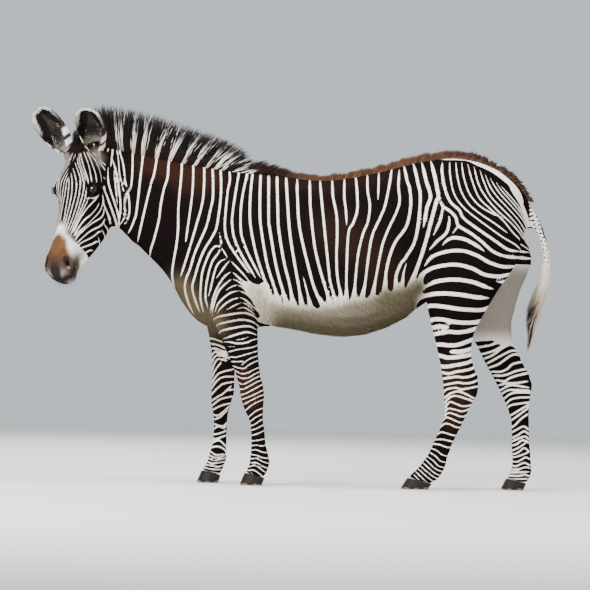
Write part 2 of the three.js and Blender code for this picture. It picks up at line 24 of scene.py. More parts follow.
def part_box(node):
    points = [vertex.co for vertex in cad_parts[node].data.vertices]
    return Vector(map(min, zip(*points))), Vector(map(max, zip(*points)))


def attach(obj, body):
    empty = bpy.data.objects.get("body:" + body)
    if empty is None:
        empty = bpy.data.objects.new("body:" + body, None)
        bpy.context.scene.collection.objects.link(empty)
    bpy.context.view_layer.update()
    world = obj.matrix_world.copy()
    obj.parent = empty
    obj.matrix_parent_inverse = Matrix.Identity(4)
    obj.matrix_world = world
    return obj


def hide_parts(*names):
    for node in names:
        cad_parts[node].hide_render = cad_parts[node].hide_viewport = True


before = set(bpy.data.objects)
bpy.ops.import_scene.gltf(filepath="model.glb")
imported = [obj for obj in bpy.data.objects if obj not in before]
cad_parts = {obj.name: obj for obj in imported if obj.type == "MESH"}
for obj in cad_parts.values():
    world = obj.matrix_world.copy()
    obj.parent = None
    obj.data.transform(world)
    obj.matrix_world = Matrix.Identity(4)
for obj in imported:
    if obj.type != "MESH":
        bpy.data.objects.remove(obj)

log = logging.getLogger("zebra")
MM = 0.001
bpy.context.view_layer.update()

BAKE_PATCH = 0.003  # size of a lock's place on the unwrapped skin

# ---------------------------------------------------------------- stripes


@dataclass(frozen=True)
class SideView:
    """A view square to the left side, in units of its own: across to the tail and down to the feet.

    It may be a part of the whole view, seen larger.
    """

    corner: tuple[float, float] = (0.0, 0.0)  # where the part starts in the whole view, across and down
    zoom: float = 1.0  # how much larger than in the whole view the part is seen
    unit: float = 4.65  # millimetres in a unit of the whole view
    middle: float = 294.7  # how far across the animal's x = 0 is
    floor: tuple[float, float] = (290.0, 485.25)  # a point of the floor's line, across and down
    slope: tuple[float, float] = (0.99969, 0.02499)  # cosine and sine of that line's fall

    def stripe(self, width: float, *numbers: float) -> tuple:
        """Turn one stripe to the animal's whole millimetres: its width, then x, z, x, z and so on.

        Args:
            width: Its width, in units of the whole view.
            numbers: Its points: across, down, across, down and so on.

        Returns:
            The width, then x, z, x, z and so on.
        """
        across, down = (start + np.array(numbers[k::2]) / self.zoom for k, start in enumerate(self.corner))
        cosine, sine = self.slope
        x = ((across - self.middle) * cosine + (down - self.floor[1]) * sine) * self.unit
        z = ((across - self.floor[0]) * sine - (down - self.floor[1]) * cosine) * self.unit
        return (round(width * self.unit), *np.column_stack([x, z]).round().ravel())

    def stripes(self, *rows: tuple) -> tuple:
        """Turn stripes, each a width and then across, down, across, down and so on, to millimetres."""
        return tuple(self.stripe(*row) for row in rows)


SIDE_VIEW = SideView()
FORELEG_VIEW = SideView(corner=(180.0, 300.0), zoom=7.8)
HINDLEG_VIEW = SideView(corner=(390.0, 300.0), zoom=7.8)

# White stripes of the left side: a width in units of the whole view, then across, down and so on.
BODY_STRIPES = SIDE_VIEW.stripes(
    (2.6, 303, 276, 310, 304),
    (4.4, 297.3, 178, 297.3, 197, 300, 231, 311, 278, 316, 293, 320, 300),
    (4, 309.6, 178, 309.8, 197, 311, 216, 316, 255, 328.5, 300),
    (3.8, 320, 178, 321, 197, 328.5, 272, 331, 287, 335, 299),
    (3.8, 332, 178, 332.7, 197, 336, 216, 336.7, 235, 336, 255, 336.5, 274, 339, 289, 341.5, 299),
    (3.4, 344.4, 177, 343.8, 197, 345.4, 212, 346, 226),
    (3.8, 355.4, 175, 356.7, 197, 356.3, 212, 352.5, 224, 347.7, 235, 345.8, 274, 345.8, 293),
    (3.6, 367.3, 173, 367, 191, 369, 206.5, 367, 222, 362, 235, 358, 251, 356, 266, 353.5, 293),
    (3, 378.8, 171, 377, 201),
    (3.6, 392, 168, 385, 203, 379.4, 218, 371.7, 235, 368, 253, 364, 283.5, 362, 293),
    (3.2, 399, 170, 397.7, 187, 398.7, 201, 395.8, 212, 388, 228, 382, 243, 378.5, 258.5, 372.7, 289),
    (3.6, 403.5, 165, 406.3, 181, 408.8, 190, 409.5, 207, 405, 227, 394, 243, 388, 258.5, 385, 272, 384,
     283.5),
    (3.6, 413, 163, 416.7, 183, 419, 200, 414.4, 238, 405, 257, 399.6, 264, 395, 276, 395, 287),
    (2.6, 405, 264, 402.5, 273, 401.5, 279.6),
    (3.4, 421.6, 163, 425, 181, 429, 197, 425.6, 209, 422, 228),
    (3.6, 430.6, 161.5, 437, 197, 434.6, 203, 421.6, 251, 411, 280),
    (3, 437, 197, 441, 206.5, 448, 212, 454, 218, 456.6, 226.3, 468, 233.5, 478.6, 241.5, 491, 252, 504.6,
     257, 521.7, 258),
    (2.8, 441, 206.5, 438.7, 220, 432, 236),
    (2.8, 456.6, 226.3, 451, 234),
    (3, 446.7, 216, 447.6, 222, 444.5, 233.5, 435.5, 242, 428, 250.5),
    (3, 441, 245.6, 445, 241.5, 451, 238.4, 463, 240, 476, 247, 482, 252),
    (3, 423.4, 266, 431, 257, 445, 252, 460.6, 251.4, 475, 256, 487.6, 263, 502, 267, 516, 266),
    (3.2, 416.7, 284.6, 423, 273, 435.5, 267, 453.5, 265, 469.6, 268.5, 483, 275, 498, 276.5, 512, 273),
    (3.4, 423, 288, 434, 282, 452, 279.7, 469.6, 282, 484, 287, 491, 289),
    (3, 494.7, 281.5, 500, 282, 506, 280),
    (3.6, 418, 299, 427, 295, 440, 293.5, 457, 294.5, 473, 297, 487, 298),
    (2.8, 442, 162, 441, 173, 443.6, 190, 449, 203, 457.5, 211, 464, 221, 493, 241.5, 506, 250, 518.5, 252),
    (2.6, 449, 162, 449, 176, 452, 193, 459, 205, 470.5, 216, 498, 236, 513, 245, 522.6, 253),
    (2.6, 455, 162, 456, 177, 460, 193, 468, 206, 479.5, 215.5, 493, 224.5, 506, 234),
    (2.6, 461, 163, 462, 176, 467, 193, 476, 205, 487.6, 213, 501.5, 219),
    (2.5, 467, 165, 470.5, 181, 477, 198, 487.6, 209, 501, 221, 512, 234, 524, 245),
    (2.5, 473, 167, 477, 185, 485, 199, 496.5, 212, 510, 224.5, 526, 241.5),
    (2.3, 479, 171, 483, 184, 490, 198.5, 512, 221, 527.5, 240),
    (2.2, 484, 175, 488, 186, 495, 197, 516, 219.5, 524, 230, 529, 239),
    (2.1, 489, 179, 494, 188, 501, 197.5, 520, 218, 527, 229, 530, 237),
    (2, 495, 183, 500, 191, 515, 208, 523, 218, 529, 229),
    (2, 500, 187, 514, 203, 521, 212, 527, 221, 531, 230),
    (4.4, 286, 174, 287.7, 205, 290.8, 240, 301, 300),
    (4.2, 277, 171, 277.9, 215, 279, 230, 281.9, 250, 285, 266, 289, 282, 292, 297),
    (4.2, 268.8, 170, 268.8, 218, 270, 230, 276.5, 267, 284, 294),
    (4, 261, 168, 260, 200, 260.3, 218, 261.5, 230, 264.6, 250, 268, 267, 276, 292),
    (3.8, 254, 167, 252, 180, 250.4, 200, 250.4, 220, 253.3, 240, 258.2, 260, 268, 288),
    (3.6, 248, 166, 246, 180, 243, 195, 241, 212, 241.3, 230, 243.2, 240, 249, 255, 261, 278),
    (3.6, 240, 166, 233, 213, 233.2, 230, 236, 242, 242, 255, 256, 278),
    (3.6, 229, 165, 230, 180, 228, 192, 226.2, 210, 225.4, 228, 228, 241, 235, 253, 250, 274),
    (4, 220.2, 162, 221.3, 180, 221, 198, 217.5, 226, 213, 237, 205, 250, 200, 262, 196, 275, 193, 288, 196,
     301, 200, 312),
    (4.2, 212, 160, 213.3, 180, 213.2, 198, 210.5, 212, 206.5, 228, 196, 252, 191, 268, 186.5, 280, 185.5,
     290, 189, 303, 194, 314),
    (4.4, 204.3, 158, 203.5, 198, 196, 229, 186, 262, 181, 277),
    (4.2, 192.5, 155, 193.4, 172, 193, 190, 191, 208, 186, 244),
    (5.2, 181.5, 150, 181.9, 172, 179, 208, 178.8, 228, 177, 246, 174, 262, 172.5, 276, 175, 290),
    (5.2, 171, 150, 169, 165, 168, 178, 164.5, 190, 161.5, 205, 159.5, 220, 155, 238, 151, 250, 150, 258),
    (5, 158, 146, 156.8, 160, 154.5, 175, 151, 187, 138, 242),
    (5, 145.5, 140, 143.5, 152, 142.5, 165, 137.5, 210, 134.5, 221, 130, 231, 127, 236),
    (4.4, 132, 136, 133, 150, 133, 170, 132, 190),
    (3.6, 118, 140, 120.5, 152, 124, 165, 126, 182, 129.5, 198, 130, 212, 127.5, 221, 123, 226),
    (2.6, 110, 137.5, 115.5, 146, 118.8, 158, 120.5, 175, 124, 190, 125.8, 205, 124.5, 218, 119, 227),
    (3.6, 219.8, 233, 221.5, 245, 216, 247, 211, 252, 206.5, 262, 203, 273, 201.7, 285, 201, 298, 204, 312),
    (3.4, 222, 247, 218.5, 254, 213, 262, 209.5, 273, 207, 285, 206.3, 298, 208.5, 308),
    (3, 222.3, 248, 228.5, 259),
    (3.2, 227, 259, 221, 262, 216, 270, 210.5, 292, 208.5, 297),
    (3.2, 230.6, 260.5, 226, 266, 217, 278.5),
    (3, 230.6, 260.5, 243, 273.5, 250, 282),
    (3.2, 232.3, 271.5, 226, 276, 220.5, 283, 215.5, 293, 212.5, 303, 210.5, 313),
    (3, 232.3, 271.5, 246, 283.5, 252, 287),
    (3.2, 232.9, 278.8, 226, 284, 220, 290.5, 216, 299, 213.5, 308, 213, 315),
    (3, 232.9, 278.8, 241, 283, 254, 294),
    (3, 238, 285, 232, 287, 226.5, 290.5),
    (3, 238, 285, 245, 289, 256, 300),
    (3.2, 239.2, 290.8, 231, 293, 224, 298, 218.5, 304, 215.5, 312),
    (3.2, 239.2, 290.8, 247, 294, 252.5, 299, 256.5, 305),
    (3.2, 240.4, 297.6, 233, 299.5, 226, 303.5, 220.5, 309, 218, 313),
    (3.2, 240.4, 297.6, 246, 300, 257, 310),
    (3, 242, 302.3, 236, 305, 226.5, 310),
    (2.6, 242, 302.3, 248, 305, 254, 311),
    (2.4, 238, 308.6, 244, 307.4, 250, 310.5, 256, 315),
    (3.6, 213.5, 321, 216, 318, 223, 315.5, 241.5, 312.7, 249, 313.8, 254.5, 316.5, 258, 320),
    (3.6, 217, 327, 219.6, 323.8, 235, 320.4, 243, 319.6, 249.5, 320.5, 255, 323, 258, 326),
    (3.6, 219, 335, 222, 330.5, 237, 327, 245, 326, 251, 326.3, 257.5, 330),
    (3.4, 223.5, 338.5, 239, 333.5, 248, 332, 257.5, 335),
    (2.8, 237, 339.5, 244, 338.5, 249, 336.5),
    (3, 223, 341.5, 231, 341.8, 238, 343, 247, 342.3, 252, 340, 258.5, 338.5),
    (2.2, 228, 346.2, 235, 346.2),
)

FORELEG_STRIPES = FORELEG_VIEW.stripes(
    (3, 395, 398, 450, 385, 570, 365, 612, 345),
    (3, 405, 440, 450, 440, 618, 392),
    (3, 415, 478, 482, 475),
    (3, 500, 490, 540, 458, 620, 428),
    (3, 420, 512, 470, 527, 505, 528, 540, 502, 580, 482, 622, 466),
    (3, 435, 548, 480, 570, 530, 565, 575, 540, 625, 520),
    (3, 450, 590, 490, 607, 540, 600, 590, 570, 638, 550),
    (3, 460, 640, 500, 650, 590, 605, 642, 585),
    (3, 465, 690, 505, 688, 600, 636, 648, 618),
    (3, 478, 735, 525, 718, 655, 650),
    (3, 490, 770, 575, 735, 662, 692),
    (3, 500, 808, 600, 755, 668, 728),
    (3, 520, 850, 555, 822, 600, 792, 665, 768),
    (3, 540, 905, 568, 880, 605, 855, 660, 835),
    (3, 548, 945, 580, 918, 620, 895, 660, 880),
    (3, 553, 978, 590, 960, 625, 935, 660, 920),
    (3, 555, 1012, 600, 995, 665, 962),
    (3, 555, 1052, 605, 1038, 668, 1008),
    (3, 556, 1092, 600, 1090, 678, 1074),
    (3, 556, 1130, 600, 1127, 640, 1132, 684, 1122),
    (3, 556, 1165, 600, 1163, 645, 1180, 692, 1186),
    (3, 556, 1198, 600, 1206, 650, 1224, 702, 1228),
    (3, 552, 1232, 600, 1228, 645, 1252, 700, 1272),
    (3, 548, 1262, 600, 1262, 645, 1288, 690, 1308),
    (3, 545, 1292, 590, 1284, 655, 1328),
    (3, 540, 1322, 580, 1320, 645, 1366),
    (3, 570, 1352, 625, 1405),
)

HINDLEG_STRIPES = HINDLEG_VIEW.stripes(
    (3.6, 275, 60, 310, 45, 400, 50, 500, 65, 600, 75, 700, 76, 765, 58),
    (3.6, 290, 168, 330, 150, 400, 150, 500, 170, 600, 175, 690, 165, 725, 145),
    (3.6, 315, 215, 370, 205, 420, 208),
    (3.6, 320, 270, 380, 255, 450, 245, 520, 250, 600, 240, 655, 222),
    (3.6, 340, 345, 400, 345, 450, 350, 520, 345, 645, 303),
    (3.6, 485, 400, 540, 398, 600, 385, 648, 368),
    (3.6, 355, 422, 400, 435, 460, 445, 590, 430, 650, 412),
    (3.6, 380, 510, 430, 515, 550, 495, 610, 480, 662, 450),
    (3, 395, 560, 450, 570, 510, 555, 570, 545, 630, 530, 668, 500),
    (3, 400, 610, 510, 595, 560, 600, 620, 590, 675, 565),
    (3, 405, 660, 510, 640, 570, 645, 630, 640, 690, 615),
    (3, 410, 715, 440, 690, 500, 680, 560, 690, 700, 665),
    (3, 415, 762, 450, 730, 500, 710, 550, 715, 640, 758),
    (3, 415, 805, 440, 770, 480, 745, 540, 750, 655, 792),
    (3, 420, 835, 460, 792, 500, 800, 550, 820, 600, 820, 645, 808),
    (3, 420, 865, 450, 842, 500, 850, 550, 862, 600, 850, 630, 832),
    (3, 415, 895, 460, 875, 550, 905, 600, 888),
    (3, 405, 935, 440, 910, 540, 950, 585, 938),
    (3, 380, 990, 420, 960, 460, 965, 510, 985, 560, 990),
    (3, 362, 1042, 400, 1025, 500, 1050, 545, 1028),
    (3, 350, 1082, 400, 1080, 450, 1092, 500, 1097, 525, 1068),
    (3, 332, 1115, 380, 1122, 430, 1140, 500, 1148),
    (2.2, 318, 1150, 360, 1168, 400, 1200, 470, 1218),
    (2.2, 303, 1182, 350, 1212, 390, 1250, 455, 1264),
    (2.2, 288, 1215, 335, 1250, 375, 1288, 440, 1305),
    (2.2, 275, 1242, 358, 1314, 425, 1336),
    (2.2, 258, 1270, 348, 1346, 412, 1366),
    (2.2, 240, 1296, 335, 1372, 400, 1396),
    (2.2, 228, 1322, 322, 1400, 380, 1415),
    (2.2, 213, 1347, 255, 1388, 298, 1424, 345, 1438),
    (2.2, 198, 1372, 275, 1452),
)

# The inner faces of the legs, drawn on the right ones.
INNER_FORELEG_STRIPES = FORELEG_VIEW.stripes(
    (3, 225, 300, 270, 308, 335, 330),
    (3, 225, 340, 290, 352, 355, 378),
    (3, 230, 385, 270, 380, 330, 400, 395, 412),
    (3, 240, 440, 268, 408, 310, 412, 390, 432),
    (3, 240, 500, 262, 455, 290, 432, 340, 440, 395, 462),
    (3, 238, 570, 265, 500, 295, 462, 345, 470),
    (3, 238, 625, 270, 555, 305, 505),
    (3, 236, 665, 285, 590, 330, 562, 405, 545),
    (3, 236, 705, 280, 640, 330, 605, 415, 600),
    (3, 236, 748, 290, 690, 340, 655, 420, 640),
    (3, 236, 795, 290, 758, 330, 735, 380, 690),
    (3, 385, 705, 420, 700),
    (3, 238, 835, 290, 792, 330, 770, 425, 752),
    (3, 245, 865, 280, 845, 340, 820, 405, 808),
    (3, 250, 895, 300, 900, 375, 840),
    (3, 258, 935, 300, 922, 350, 880),
    (3, 256, 968, 330, 985, 375, 948),
    (3, 256, 1012, 300, 990, 340, 1000, 370, 968),
    (3, 250, 1052, 300, 1045, 350, 1028),
    (3, 246, 1092, 300, 1080, 358, 1060),
    (3, 240, 1122, 290, 1100, 320, 1110, 352, 1142),
    (3, 238, 1155, 290, 1145, 330, 1160, 358, 1185),
    (2.2, 234, 1185, 280, 1210, 335, 1205),
    (2.2, 226, 1212, 270, 1232, 330, 1226, 358, 1200),
    (2.2, 218, 1240, 270, 1253, 350, 1240),
    (2.2, 210, 1266, 260, 1278, 350, 1265),
    (2.2, 202, 1290, 300, 1303, 358, 1283),
    (2.2, 192, 1312, 245, 1324, 325, 1328),
    (2.2, 184, 1338, 295, 1355),
    (2.2, 175, 1362, 285, 1380),
)

INNER_HINDLEG_STRIPES = HINDLEG_VIEW.stripes(
    (3.2, 655, 318, 800, 292, 870, 262, 935, 240),
    (3.2, 690, 372, 800, 350, 905, 305),
    (3.2, 725, 425, 800, 402, 860, 372, 915, 328, 975, 330),
    (3.2, 755, 455, 810, 430, 895, 370, 950, 352, 1005, 378),
    (3.2, 775, 490, 940, 402, 1015, 405),
    (3.2, 795, 525, 850, 502, 960, 432, 1035, 435),
    (3.2, 815, 562, 870, 562, 920, 540, 965, 502, 1055, 482),
    (3.2, 832, 592, 880, 592, 930, 580, 990, 556, 1080, 540),
    (3.2, 850, 630, 900, 635, 940, 612, 1000, 592, 1095, 570),
    (2.8, 865, 665, 920, 652, 980, 650, 1060, 640),
    (2.8, 875, 702, 930, 672, 990, 670, 1070, 682),
    (2.8, 880, 735, 930, 706, 1000, 705, 1080, 710),
    (2.8, 895, 775, 940, 738, 1000, 725, 1098, 726),
    (2.8, 912, 815, 950, 778, 1010, 765, 1098, 762),
    (2.8, 925, 845, 960, 820, 1098, 800),
    (2.8, 945, 905, 1050, 842, 1098, 820),
    (2.8, 950, 945, 1080, 850),
    (2.8, 950, 1003, 990, 970, 1030, 930, 1072, 900),
    (2.8, 950, 1042, 1000, 1012, 1050, 990, 1085, 1012),
    (2.8, 950, 1082, 1000, 1060, 1050, 1030, 1088, 1050),
    (2.8, 950, 1112, 1050, 1070, 1085, 1085),
    (2.8, 950, 1143, 990, 1130, 1040, 1100, 1085, 1115),
    (2.3, 955, 1182, 1000, 1160, 1050, 1130),
    (2.3, 952, 1210, 1000, 1195, 1050, 1160, 1085, 1180),
    (2.3, 950, 1234, 1000, 1225, 1070, 1200),
    (2.3, 945, 1262, 1000, 1265, 1060, 1232, 1088, 1242),
    (2.3, 940, 1292, 990, 1300, 1050, 1275, 1092, 1290),
    (2.3, 938, 1325, 1000, 1325, 1060, 1310, 1098, 1315),
    (2.3, 934, 1350, 1070, 1345),
    (2.3, 930, 1375, 1000, 1376, 1060, 1370, 1098, 1380),
    (2.3, 925, 1400, 1070, 1400),
    (2.3, 915, 1422, 980, 1432, 1045, 1430),
)

# The white band beside the crest over the rump, in millimetres: width, then x, z, x, z and so on.
DORSAL_BAND = (
    (14, 640, 1532, 700, 1537, 764, 1534, 825, 1518, 884, 1490),
    (24, 770, 1529, 817, 1516, 880, 1488, 935, 1450, 985, 1404, 1025, 1340),
    (16, 960, 1410, 1005, 1350, 1036, 1290, 1056, 1232),
)

# The back of the cheek, in the same way.
CHEEK_STRIPES = (
    (15, -926, 1365, -906, 1328, -861, 1208, -856, 1162, -855, 1129),
    (12, -900, 1454, -899, 1398, -888, 1352, -856, 1259, -845, 1209, -846, 1157),
    (9, -874, 1445, -854, 1287),
    (12, -880, 1491, -857, 1408, -841, 1306, -839, 1251, -845, 1199),
    (13, -899, 1589, -884, 1543, -885, 1501, -889, 1459),
    (11, -908, 1588, -902, 1547, -915, 1505),
    (17, -935, 1585, -921, 1440, -915, 1300, -927, 1150),
    (17, -972, 1585, -958, 1440, -952, 1300, -964, 1150),
    (17, -1010, 1585, -996, 1440, -990, 1300, -1002, 1150),
    (17, -1048, 1585, -1034, 1440, -1028, 1300, -1040, 1150),
    # on the far side of the throat
    (15, -960, 1400, -954, 1300, -950, 1200, -954, 1110),
)

# The face on both sides, in millimetres: width, then down the head and round it from its top line.
FACE_STRIPES = (
    (6, 18, 12, 65, 20, 163, 45, 198, 50),
    (6, 10, 15, 88, 43, 136, 53, 186, 59),
    (7, 2, 17, 40, 38, 82, 57, 126, 71, 176, 73),
    (7, -3, 20, 36, 45, 62, 72, 92, 95, 124, 107, 160, 103),
    (7, 6, 30, 24, 52, 65, 120, 90, 138, 116, 146),
    (7, 20, 40, 42, 108, 56, 138, 84, 152),
    (5, 34, 9, 72, 15, 112, 24, 156, 37, 190, 44),
    (5, 64, 8, 104, 16, 144, 28, 216, 41, 310, 41, 370, 38, 440, 32),
    (4.6, 92, 5, 166, 26, 204, 31, 252, 33, 314, 32, 380, 29, 440, 24),
    (4.4, 124, 4, 160, 13, 202, 21, 256, 23.5, 390, 20, 434, 17),
    (4.2, 150, 3, 196, 10, 250, 13.5, 318, 14, 420, 12),
    (4.2, 176, 0, 226, 4, 402, 7),
    (4, 44, 0, 66, 2, 96, 0),
    (5, 22, 0, 34, 4, 50, 3),
    (5, 216, 48, 250, 51, 296, 50, 416, 41, 460, 40),
    (5.5, 254, 63, 444, 42),
    (8, 262, 52, 250, 66, 238, 84, 216, 93),
    (6.5, 230, 93, 290, 72, 328, 62, 372, 53, 430, 47),
    (9, 204, 100, 231, 116, 268, 120, 310, 101, 350, 77, 398, 62, 450, 52),
    (8, 174, 98, 196, 131, 231, 150, 270, 153, 318, 133, 408, 74, 448, 58),
    (10, 238, 172, 270, 184, 310, 166, 402, 90, 462, 64),
    (11, 274, 206, 310, 206, 352, 180, 438, 106, 470, 84),
    (10, 330, 226, 350, 212, 382, 200, 418, 172, 460, 116, 512, 68),
    (11, 380, 240, 390, 230, 422, 214, 460, 172, 502, 98, 548, 66),
    (10, 430, 244, 446, 230, 482, 206, 522, 150, 556, 110),
    (10, 192, 118, 205, 140, 225, 163, 246, 200, 268, 228, 292, 254, 304, 280),
    (8, 156, 116, 168, 162, 194, 196, 262, 252, 280, 280),
    (7, 110, 118, 124, 160, 152, 200, 235, 264),
    (7, 78, 138, 98, 184, 132, 222, 180, 258),
    (6, 48, 146, 72, 194, 110, 236, 150, 270),
    (7, 16, 158, 48, 208, 88, 250),
    (8, 296, 212, 300, 240, 316, 272),
    (7, 324, 218, 332, 244, 346, 272),
    (7, 364, 222, 380, 248, 394, 275),
)


# ---------------------------------------------------------------- small tools


def linear(hex_colour: str) -> np.ndarray:
    """Turn an sRGB hex colour into linear red, green, blue and 1.

    Args:
        hex_colour: Six hex digits after a hash.

    Returns:
        The four numbers.
    """
    parts = np.array([int(hex_colour[i : i + 2], 16) for i in (1, 3, 5)]) / 255
    low, high = parts / 12.92, ((parts + 0.055) / 1.055) ** 2.4
    return np.append(np.where(parts <= 0.04045, low, high), 1.0)


def smoothstep(start: float, end: float, value: np.ndarray) -> np.ndarray:
    """Rise smoothly from 0 where value is start to 1 where it is end."""
    t = np.clip((value - start) / (end - start), 0, 1)
    return t * t * (3 - 2 * t)


def mix(a: np.ndarray, b: np.ndarray, share: np.ndarray) -> np.ndarray:
    """Blend rows of a towards b by a share for each row."""
    return a + (b - a) * np.asarray(share)[:, None]


def unit(vectors: np.ndarray) -> np.ndarray:
    """Scale each row to length one."""
    return vectors / np.maximum(np.linalg.norm(vectors, axis=-1, keepdims=True), 1e-9)


def smooth_line(points: np.ndarray, spacing: float) -> np.ndarray:
    """Draw a smooth curve through given points.

    Args:
        points: The points, one a row, in two or three dimensions.
        spacing: The distance between the points of the curve.

    Returns:
        Points along the curve, about evenly spaced.
    """
    p = np.vstack([2 * points[0] - points[1], points, 2 * points[-1] - points[-2]])
    drawn = []
    for a, b, c, d in zip(p[:-3], p[1:-2], p[2:-1], p[3:]):
        steps = max(int(np.linalg.norm(c - b) / spacing), 1)
        t = (np.arange(steps) / steps)[:, None]
        drawn.append(b + 0.5 * t * (c - a + t * (2 * a - 5 * b + 4 * c - d + t * (3 * (b - c) + d - a))))
    drawn.append(points[-1:])
    return np.vstack(drawn)


def distance_to_line(points: np.ndarray, line: np.ndarray) -> np.ndarray:
    """Measure how far each point is from a line of joined points.

    Args:
        points: The points, a row each.
        line: The joined points, a row each.

    Returns:
        A distance for each point.
    """
    nearest = np.full(len(points), np.inf)
    for a, b in zip(line[:-1], line[1:]):
        ab = b - a
        t = np.clip((points - a) @ ab / max(ab @ ab, 1e-9), 0, 1)
        nearest = np.minimum(nearest, np.linalg.norm(points - a - t[:, None] * ab, axis=1))
    return nearest


def add_node(tree: bpy.types.NodeTree, kind: str, settings: dict | None = None,
             links: dict | None = None) -> bpy.types.Node:
    """Add a shader node with its settings and links.

    Args:
        tree: The node tree it goes in.
        kind: The node's type, without the words that all shader nodes share.
        settings: Values by property name, or by input socket name or number.
        links: Output sockets by input socket name or number.

    Returns:
        The new node.
    """
    made = tree.nodes.new(f"ShaderNode{kind}")
    for name, value in (settings or {}).items():
        if isinstance(name, str) and hasattr(made, name):
            setattr(made, name, value)
        else:
            made.inputs[name].default_value = value
    for name, output in (links or {}).items():
        tree.links.new(output, made.inputs[name])
    return made


def new_material(name: str) -> tuple[bpy.types.Material, bpy.types.NodeTree]:
    """Make a material with an empty node tree.

    Args:
        name: What it is.

    Returns:
        The material and its tree.
    """
    made = bpy.data.materials.new(name)
    made.use_nodes = True
    made.node_tree.nodes.clear()
    return made, made.node_tree


def object_place(tree: bpy.types.NodeTree) -> bpy.types.NodeSocket:
    """Read a spot's place in its object, in metres."""
    return add_node(tree, "TexCoord").outputs["Object"]


def kept_colour(tree: bpy.types.NodeTree, name: str = "colour") -> bpy.types.NodeSocket:
    """Read a colour that the mesh keeps."""
    return add_node(tree, "Attribute", {"attribute_name": name}).outputs["Color"]


def calculate(tree: bpy.types.NodeTree, operation: str, first: bpy.types.NodeSocket,
              second: bpy.types.NodeSocket) -> bpy.types.NodeSocket:
    """Join two numbers by an operation."""
    return add_node(tree, "Math", {"operation": operation}, {0: first, 1: second}).outputs[0]


def stretched_noise(tree: bpy.types.NodeTree, place: bpy.types.NodeSocket, scale: tuple,
                    roughness: float = 0.5) -> bpy.types.NodeSocket:
    """Read a noise with a scale of its own for each axis.

    Args:
        tree: The node tree.
        place: Where a spot is.
        scale: How fine the noise is along each axis.
        roughness: How strong its finer detail is.

    Returns:
        The noise's socket.
    """
    mapped = add_node(tree, "Mapping", {"Scale": scale}, {"Vector": place}).outputs[0]
    settings = {"Scale": 1.0, "Detail": 2.0, "Roughness": roughness}
    return add_node(tree, "TexNoise", settings, {"Vector": mapped}).outputs["Fac"]


def toned(tree: bpy.types.NodeTree, colour: bpy.types.NodeSocket, pattern: bpy.types.NodeSocket,
          span: tuple[float, float], shares: tuple[float, float]) -> bpy.types.NodeSocket:
    """Darken and lighten a colour by a pattern.

    Args:
        tree: The node tree.
        colour: The colour.
        pattern: The number that rules it.
        span: The pattern's low and high values.
        shares: How much of the colour is left where the pattern is low and where it is high.

    Returns:
        The new colour's socket.
    """
    settings = {"From Min": span[0], "From Max": span[1], "To Min": shares[0], "To Max": shares[1]}
    tone = add_node(tree, "MapRange", settings, {0: pattern}).outputs[0]
    return add_node(tree, "VectorMath", {"operation": "SCALE"}, {0: colour, "Scale": tone}).outputs[0]


def end_in_surface(tree: bpy.types.NodeTree, settings: dict, links: dict) -> None:
    """End a node tree in a principled surface."""
    shader = add_node(tree, "BsdfPrincipled", settings, links)
    add_node(tree, "OutputMaterial", {}, {"Surface": shader.outputs[0]})


def wear(mesh: bpy.types.Mesh, finish: "CoatFinish | HairFinish | EyeFinish | HornFinish") -> None:
    """Give a mesh its finish, which is made once for all that wear it."""
    mesh.materials.append(bpy.data.materials.get(finish.name) or finish.build())


def rows_of(numbers: tuple, size: int = 2) -> np.ndarray:
    """Set out numbers in rows of this size."""
    return np.array(numbers, float).reshape(-1, size)


def coordinates(mesh: bpy.types.Mesh) -> np.ndarray:
    """Give a mesh's vertices as rows, in metres.

    Args:
        mesh: The mesh.

    Returns:
        The vertices' places.
    """
    found = np.empty(len(mesh.vertices) * 3, np.float32)
    mesh.vertices.foreach_get("co", found)
    return found.reshape(-1, 3).astype(float)


def normals(mesh: bpy.types.Mesh) -> np.ndarray:
    """Give a mesh's vertex normals as rows.

    Args:
        mesh: The mesh.

    Returns:
        The directions, each of length 1.
    """
    found = np.empty(len(mesh.vertices) * 3, np.float32)
    mesh.vertex_normals.foreach_get("vector", found)
    return found.reshape(-1, 3).astype(float)


def place_vertices(mesh: bpy.types.Mesh, points: np.ndarray) -> None:
    """Move a mesh's vertices to these places, in metres."""
    mesh.vertices.foreach_set("co", points.astype(np.float32).ravel())
    mesh.update()


def store(mesh: bpy.types.Mesh, name: str, values: np.ndarray) -> None:
    """Keep a number, a direction or a colour for each vertex under a name.

    Args:
        mesh: The mesh.
        name: The name that the materials read.
        values: A number or a row of them for each vertex.
    """
    if values.ndim == 1:
        mesh.attributes.new(name, "FLOAT", "POINT").data.foreach_set("value", values.astype(np.float32))
    elif values.shape[1] == 3:
        kept = mesh.attributes.new(name, "FLOAT_VECTOR", "POINT")
        kept.data.foreach_set("vector", values.astype(np.float32).ravel())
    else:
        kept = mesh.attributes.new(name, "FLOAT_COLOR", "POINT")
        kept.data.foreach_set("color", values.astype(np.float32).ravel())


def new_object(name: str, mesh: bpy.types.Mesh) -> bpy.types.Object:
    """Put a mesh in the scene as a smooth-shaded object.

    Args:
        name: The object's name.
        mesh: The mesh.

    Returns:
        The object.
    """
    made = bpy.data.objects.new(name, mesh)
    bpy.context.scene.collection.objects.link(made)
    mesh.polygons.foreach_set("use_smooth", np.ones(len(mesh.polygons), bool))
    return made


def triangles(mesh: bpy.types.Mesh) -> int:
    """Count a mesh's triangles."""
    mesh.calc_loop_triangles()
    return len(mesh.loop_triangles)


